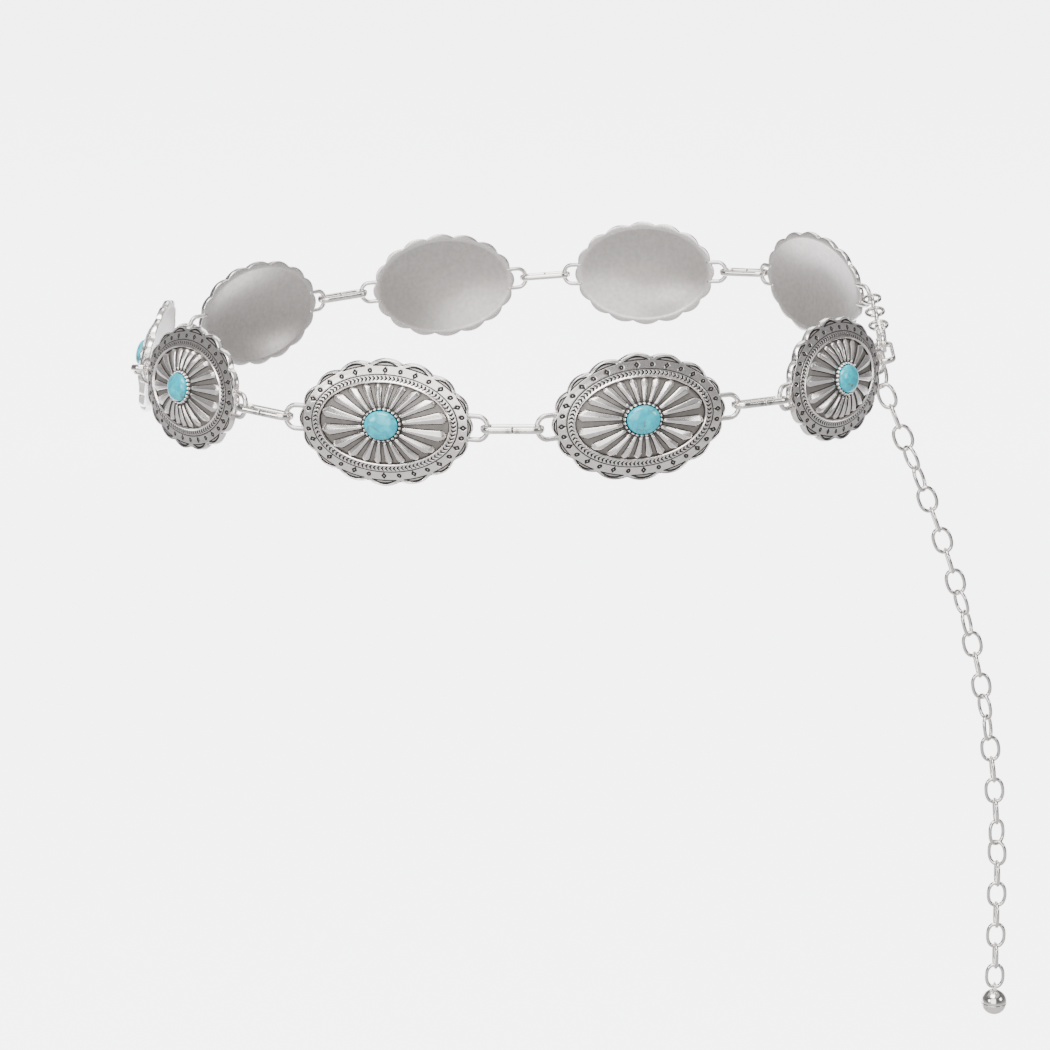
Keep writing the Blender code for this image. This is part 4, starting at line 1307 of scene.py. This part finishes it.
@dataclass
class FineChain:
    """The fine chain: plain oval cable links, 8 mm apart, each turned from the last.

    route holds the hanging chain's stations, sideways and down from its first link. After the links
    in slack_after the next one turns by slack_turn degrees, where the others turn by a right angle.
    """

    wire: float = 1.15
    length: float = 10.1
    width: float = 7.2
    pitch: float = 8.0
    back_links: int = 5
    tail_links: int = 31
    first_back_link: float = 22.9
    slack_after: tuple[int, ...] = (1, 2, 3, 5, 6, 7, 12, 13, 14, 17, 18, 19, 23, 24, 25)
    slack_turn: float = 60.0
    tarnish: float = 0.2
    shorter: float = 0.25
    bulge: float = 0.12
    fullness: float = 2.35
    steps: int = 40
    sides: int = 10
    route: tuple[tuple[float, float], ...] = (
        (0.0, 0.0), (0.6, -8.0), (4.4, -17.5), (8.3, -27.0), (17.2, -48.0), (26.0, -70.5), (33.3, -93.0),
        (39.7, -116.0), (44.1, -139.0), (47.3, -162.0), (49.1, -185.0), (49.8, -209.0), (50.8, -270.0))

    def link(self) -> Mesh:
        """One rounded link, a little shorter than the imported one, which is fused to its neighbours."""
        path = round_oval(self.length - self.shorter, self.width, self.wire, self.steps, self.fullness)
        thick = np.full(self.steps, self.wire / 2 + self.bulge)
        tones = plain_tones(np.full((self.steps, self.sides), self.tarnish))
        return grid_mesh(swept(path, thick, thick, self.sides, True), tones, True)

    def on_route(self, distance: float) -> np.ndarray:
        """A point of the hanging chain's route, by cubic pieces through its stations.

        Args:
            distance: How far along the route, in millimetres.

        Returns:
            The step from the first link's middle, in metres.
        """
        stations = np.array(self.route)
        legs = np.hypot(*np.diff(stations, axis=0).T)
        marks = np.concatenate([[0.0], np.cumsum(legs)])
        slopes = np.gradient(stations, marks, axis=0)
        index = min(int(np.searchsorted(marks, distance, side="right")) - 1, len(legs) - 1)
        leg = legs[index]
        share = (distance - marks[index]) / leg
        square, cube = share ** 2, share ** 3
        point = ((2 * cube - 3 * square + 1) * stations[index]
                 + (cube - 2 * square + share) * leg * slopes[index]
                 + (3 * square - 2 * cube) * stations[index + 1]
                 + (cube - square) * leg * slopes[index + 1])
        return np.array([point[0], 0.0, point[1]]) * MM

    def tail_frames(self, first: np.ndarray) -> list[Frame]:
        """Places of the hanging links, a pitch apart along the route.

        Args:
            first: The middle of the first link, in metres.

        Returns:
            Each link's frame, X down the chain.
        """
        frames: list[Frame] = []
        turn = math.pi / 2
        centre = first
        distance = 0.0
        for number in range(1, self.tail_links + 1):
            low, high = distance + self.pitch / 2, distance + self.pitch * 1.5
            for _ in range(40):
                middle = (low + high) / 2
                if np.linalg.norm(first + self.on_route(middle) - centre) > self.pitch * MM:
                    high = middle
                else:
                    low = middle
            following = first + self.on_route((low + high) / 2)
            behind = 2 * centre - following if number == 1 else frames[-1].centre
            down = (following - behind) / np.linalg.norm(following - behind)
            side = np.array([1.0, 0.0, 0.0]) - down[0] * down
            side /= np.linalg.norm(side)
            across = math.cos(turn) * side + math.sin(turn) * np.cross(down, side)
            frames.append(frame_from(down, across, centre))
            turn += math.radians(self.slack_turn if number in self.slack_after else 90.0)
            centre, distance = following, (low + high) / 2
        return frames

    def build(self, clasp: Frame, first: np.ndarray) -> Frame:
        """Make the short chain behind the clasp and the hanging chain.

        Args:
            clasp: The clasp's frame.
            first: The middle of the first hanging link, in metres.

        Returns:
            The last hanging link's frame.
        """
        link = self.link()
        back = [clasp.moved((self.first_back_link + self.pitch * number, 0.0, 0.0),
                            math.pi / 2 * (number + 1)) for number in range(self.back_links)]
        tail = self.tail_frames(first)
        for name, frames in (("back_chain", back), ("tail_chain", tail)):
            plate = PolishedPlate().build(f"silver_plate_{name}")
            mesh = join([placed(link, place) for place in frames])
            add_piece(f"{name}_links", mesh, plate, ROOT_BODY, [name])
        return tail[-1]


@dataclass
class EndBall:
    """The hollow ball on the end of the hanging chain: two pressed halves with a seam, and a wire loop."""

    diameter: float = 9.6
    play: float = 0.06
    seam_half: float = 0.022
    seam_depth: float = 0.03
    seam_tone: float = 0.8
    columns: int = 64
    loop_wire: float = 1.0
    loop_width: float = 4.6

    def build(self, last: Frame, chain: FineChain) -> None:
        """Make the ball and its loop.

        Args:
            last: The last chain link's frame.
            chain: The chain that it hangs on.
        """
        bottom = last.put(np.array([[chain.length / 2 - chain.wire, 0.0, 0.0]]))[0]
        top = bottom + np.array([0.0, 0.0, (self.loop_wire + CLEARANCE) * MM])
        upright = np.array([0.0, 0.0, 1.0])
        across = last.axes[:, 2]
        place = frame_from(across, np.cross(upright, across), top)
        radius = self.diameter / 2
        middle = -(self.loop_wire + chain.wire + 2 * CLEARANCE) - radius
        climb = np.sort(np.concatenate([np.linspace(-0.97, 0.97, 41) * math.pi / 2,
                                        np.array([-0.03, -0.015, 0.015, 0.03])]))
        groove = bump_at(climb, self.seam_half)
        size = (radius - self.play) * (1 - self.seam_depth * groove)
        angle = TURN * np.arange(self.columns) / self.columns
        wide = (size * np.cos(climb))[:, None]
        ball = np.stack([wide * np.cos(angle), wide * np.sin(angle),
                         (middle + size * np.sin(climb))[:, None] + 0 * angle], axis=-1)
        seam = np.repeat(self.seam_tone * groove[:, None], self.columns, axis=1)
        shell = grid_mesh(ball, plain_tones(seam))
        ring_radius = (self.loop_width - self.loop_wire) / 2
        turn = TURN * np.arange(40) / 40
        thick = np.full(40, self.loop_wire / 2)
        path = np.column_stack([ring_radius * np.cos(turn), ring_radius * np.sin(turn)])
        ring = swept(path, thick, thick, 12, True)
        ring = np.stack([ring[..., 0], -ring[..., 2], ring[..., 1] - self.loop_wire / 2 - ring_radius],
                        axis=-1)
        plate = PolishedPlate().build("silver_plate_end_ball")
        mesh = join([shell, grid_mesh(ring, wrap_rows=True)])
        add_piece("end_ball_shell", placed(mesh, place), plate, ROOT_BODY, ["end_ball"])


@dataclass
class Studio:
    """White paper sweep, soft boxes and the camera at the photograph's angle."""

    floor: float = -0.45
    reach: float = 3.0
    bend: float = 0.8
    wall_tops: tuple[float, float] = (2.0, 3.5)
    room_grey: float = 0.9
    room_light: float = 0.85
    distance: float = 0.7773
    side: float = 0.004
    height: float = 0.1433
    pitch: float = 12.84
    lens: float = 85.714
    lights: tuple[tuple[str, tuple[float, float, float], float, float], ...] = (
        ("front_panel", (-0.5, -2.45, 0.74), 2.2, 58.0),
        ("overhead_box", (-0.2, -0.5, 1.2), 0.9, 24.0),
        ("left_box", (-1.4, -1.2, 0.5), 0.6, 10.0),
        ("right_box", (1.6, -0.7, 0.6), 0.5, 7.0),
        ("back_box", (0.2, 1.3, 1.3), 1.0, 10.0),
    )

    def sweep(self) -> None:
        """The paper: flat floor, quarter-round bend and upright wall, all round for every view."""
        reach, bend = self.reach, self.bend
        turn = np.linspace(0.0, math.pi / 2, 17)
        radius = np.concatenate([[0.02, 0.4, 1.4], reach - bend + bend * np.sin(turn), [reach, reach]])
        level = np.concatenate([[0.0, 0.0, 0.0], bend * (1 - np.cos(turn)), self.wall_tops]) + self.floor
        angle = TURN * np.arange(96) / 96
        points = np.stack([radius[:, None] * np.cos(angle), radius[:, None] * np.sin(angle),
                           level[:, None] + 0 * angle], axis=-1)
        rows, columns = points.shape[:2]
        index = np.arange(rows * columns).reshape(rows, columns)
        quads = np.stack([index[:-1], np.roll(index[:-1], -1, 1), np.roll(index[1:], -1, 1), index[1:]], -1)
        faces = quads.reshape(-1, 4)[:, ::-1].tolist() + [index[0][::-1].tolist()]
        data = bpy.data.meshes.new("paper_sweep")
        data.from_pydata(points.reshape(-1, 3).tolist(), [], faces)
        data.shade_smooth()
        data.materials.append(StudioPaper().build("white_background_paper"))
        item = bpy.data.objects.new("paper_sweep", data)
        bpy.context.scene.collection.objects.link(item)
        item.visible_shadow = False

    def light(self) -> None:
        """Hang the soft boxes, all aimed at the middle of the belt, and set the room's light."""
        for name, place, size, power in self.lights:
            data = bpy.data.lights.new(name, "AREA")
            data.shape = "SQUARE"
            data.size = size
            data.energy = power
            item = bpy.data.objects.new(name, data)
            bpy.context.scene.collection.objects.link(item)
            item.location = place
            away = np.array(place) / np.linalg.norm(place)
            across = np.cross((0.0, 0.0, 1.0), away)
            across /= np.linalg.norm(across)
            axes = np.column_stack([across, np.cross(away, across), away])
            item.matrix_world = Matrix(np.vstack([np.column_stack([axes, place]), (0, 0, 0, 1)]).tolist())
        world = bpy.data.worlds.new("studio_room")
        world.use_nodes = True
        background = world.node_tree.nodes["Background"]
        background.inputs["Color"].default_value = grey(self.room_grey)
        background.inputs["Strength"].default_value = self.room_light
        bpy.context.scene.world = world

    def camera(self, front: float) -> None:
        """Set the camera where the photograph's perspective puts it.

        Args:
            front: How far forward the front conchos are, in metres.
        """
        data = bpy.data.cameras.new("camera")
        data.sensor_width = 36.0
        data.lens = self.lens
        data.clip_start = 0.01
        item = bpy.data.objects.new("camera", data)
        bpy.context.scene.collection.objects.link(item)
        item.location = (self.side, front - self.distance, self.height)
        item.rotation_euler = (math.radians(90.0 - self.pitch), 0.0, 0.0)
        bpy.context.scene.camera = item

    def build(self, front: float) -> None:
        """Build the whole studio.

        Args:
            front: How far forward the front conchos are, in metres.
        """
        self.sweep()
        self.light()
        self.camera(front)


def main() -> None:
    """Build the belt's pieces in order, then the studio."""
    logging.basicConfig(level=logging.INFO, format="%(message)s")
    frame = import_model()
    nodes = frame["nodes"]
    concho = Concho()
    frames = concho.build(nodes)
    links = OvalLinks()
    links.build(nodes)
    clasp, chain = LobsterClasp(), FineChain()
    closure = Closure(frames, concho, links, clasp, chain)
    clasp_place = closure.clasp_frame()
    clasp.build(clasp_place)
    last = chain.build(clasp_place, closure.first_tail_link())
    EndBall().build(last, chain)
    front = (frames[Around.FRONT_RIGHT].centre[1] + frames[Around.FRONT_LEFT].centre[1]) / 2
    Studio().build(float(front))


if __name__ == "__main__":
    main()
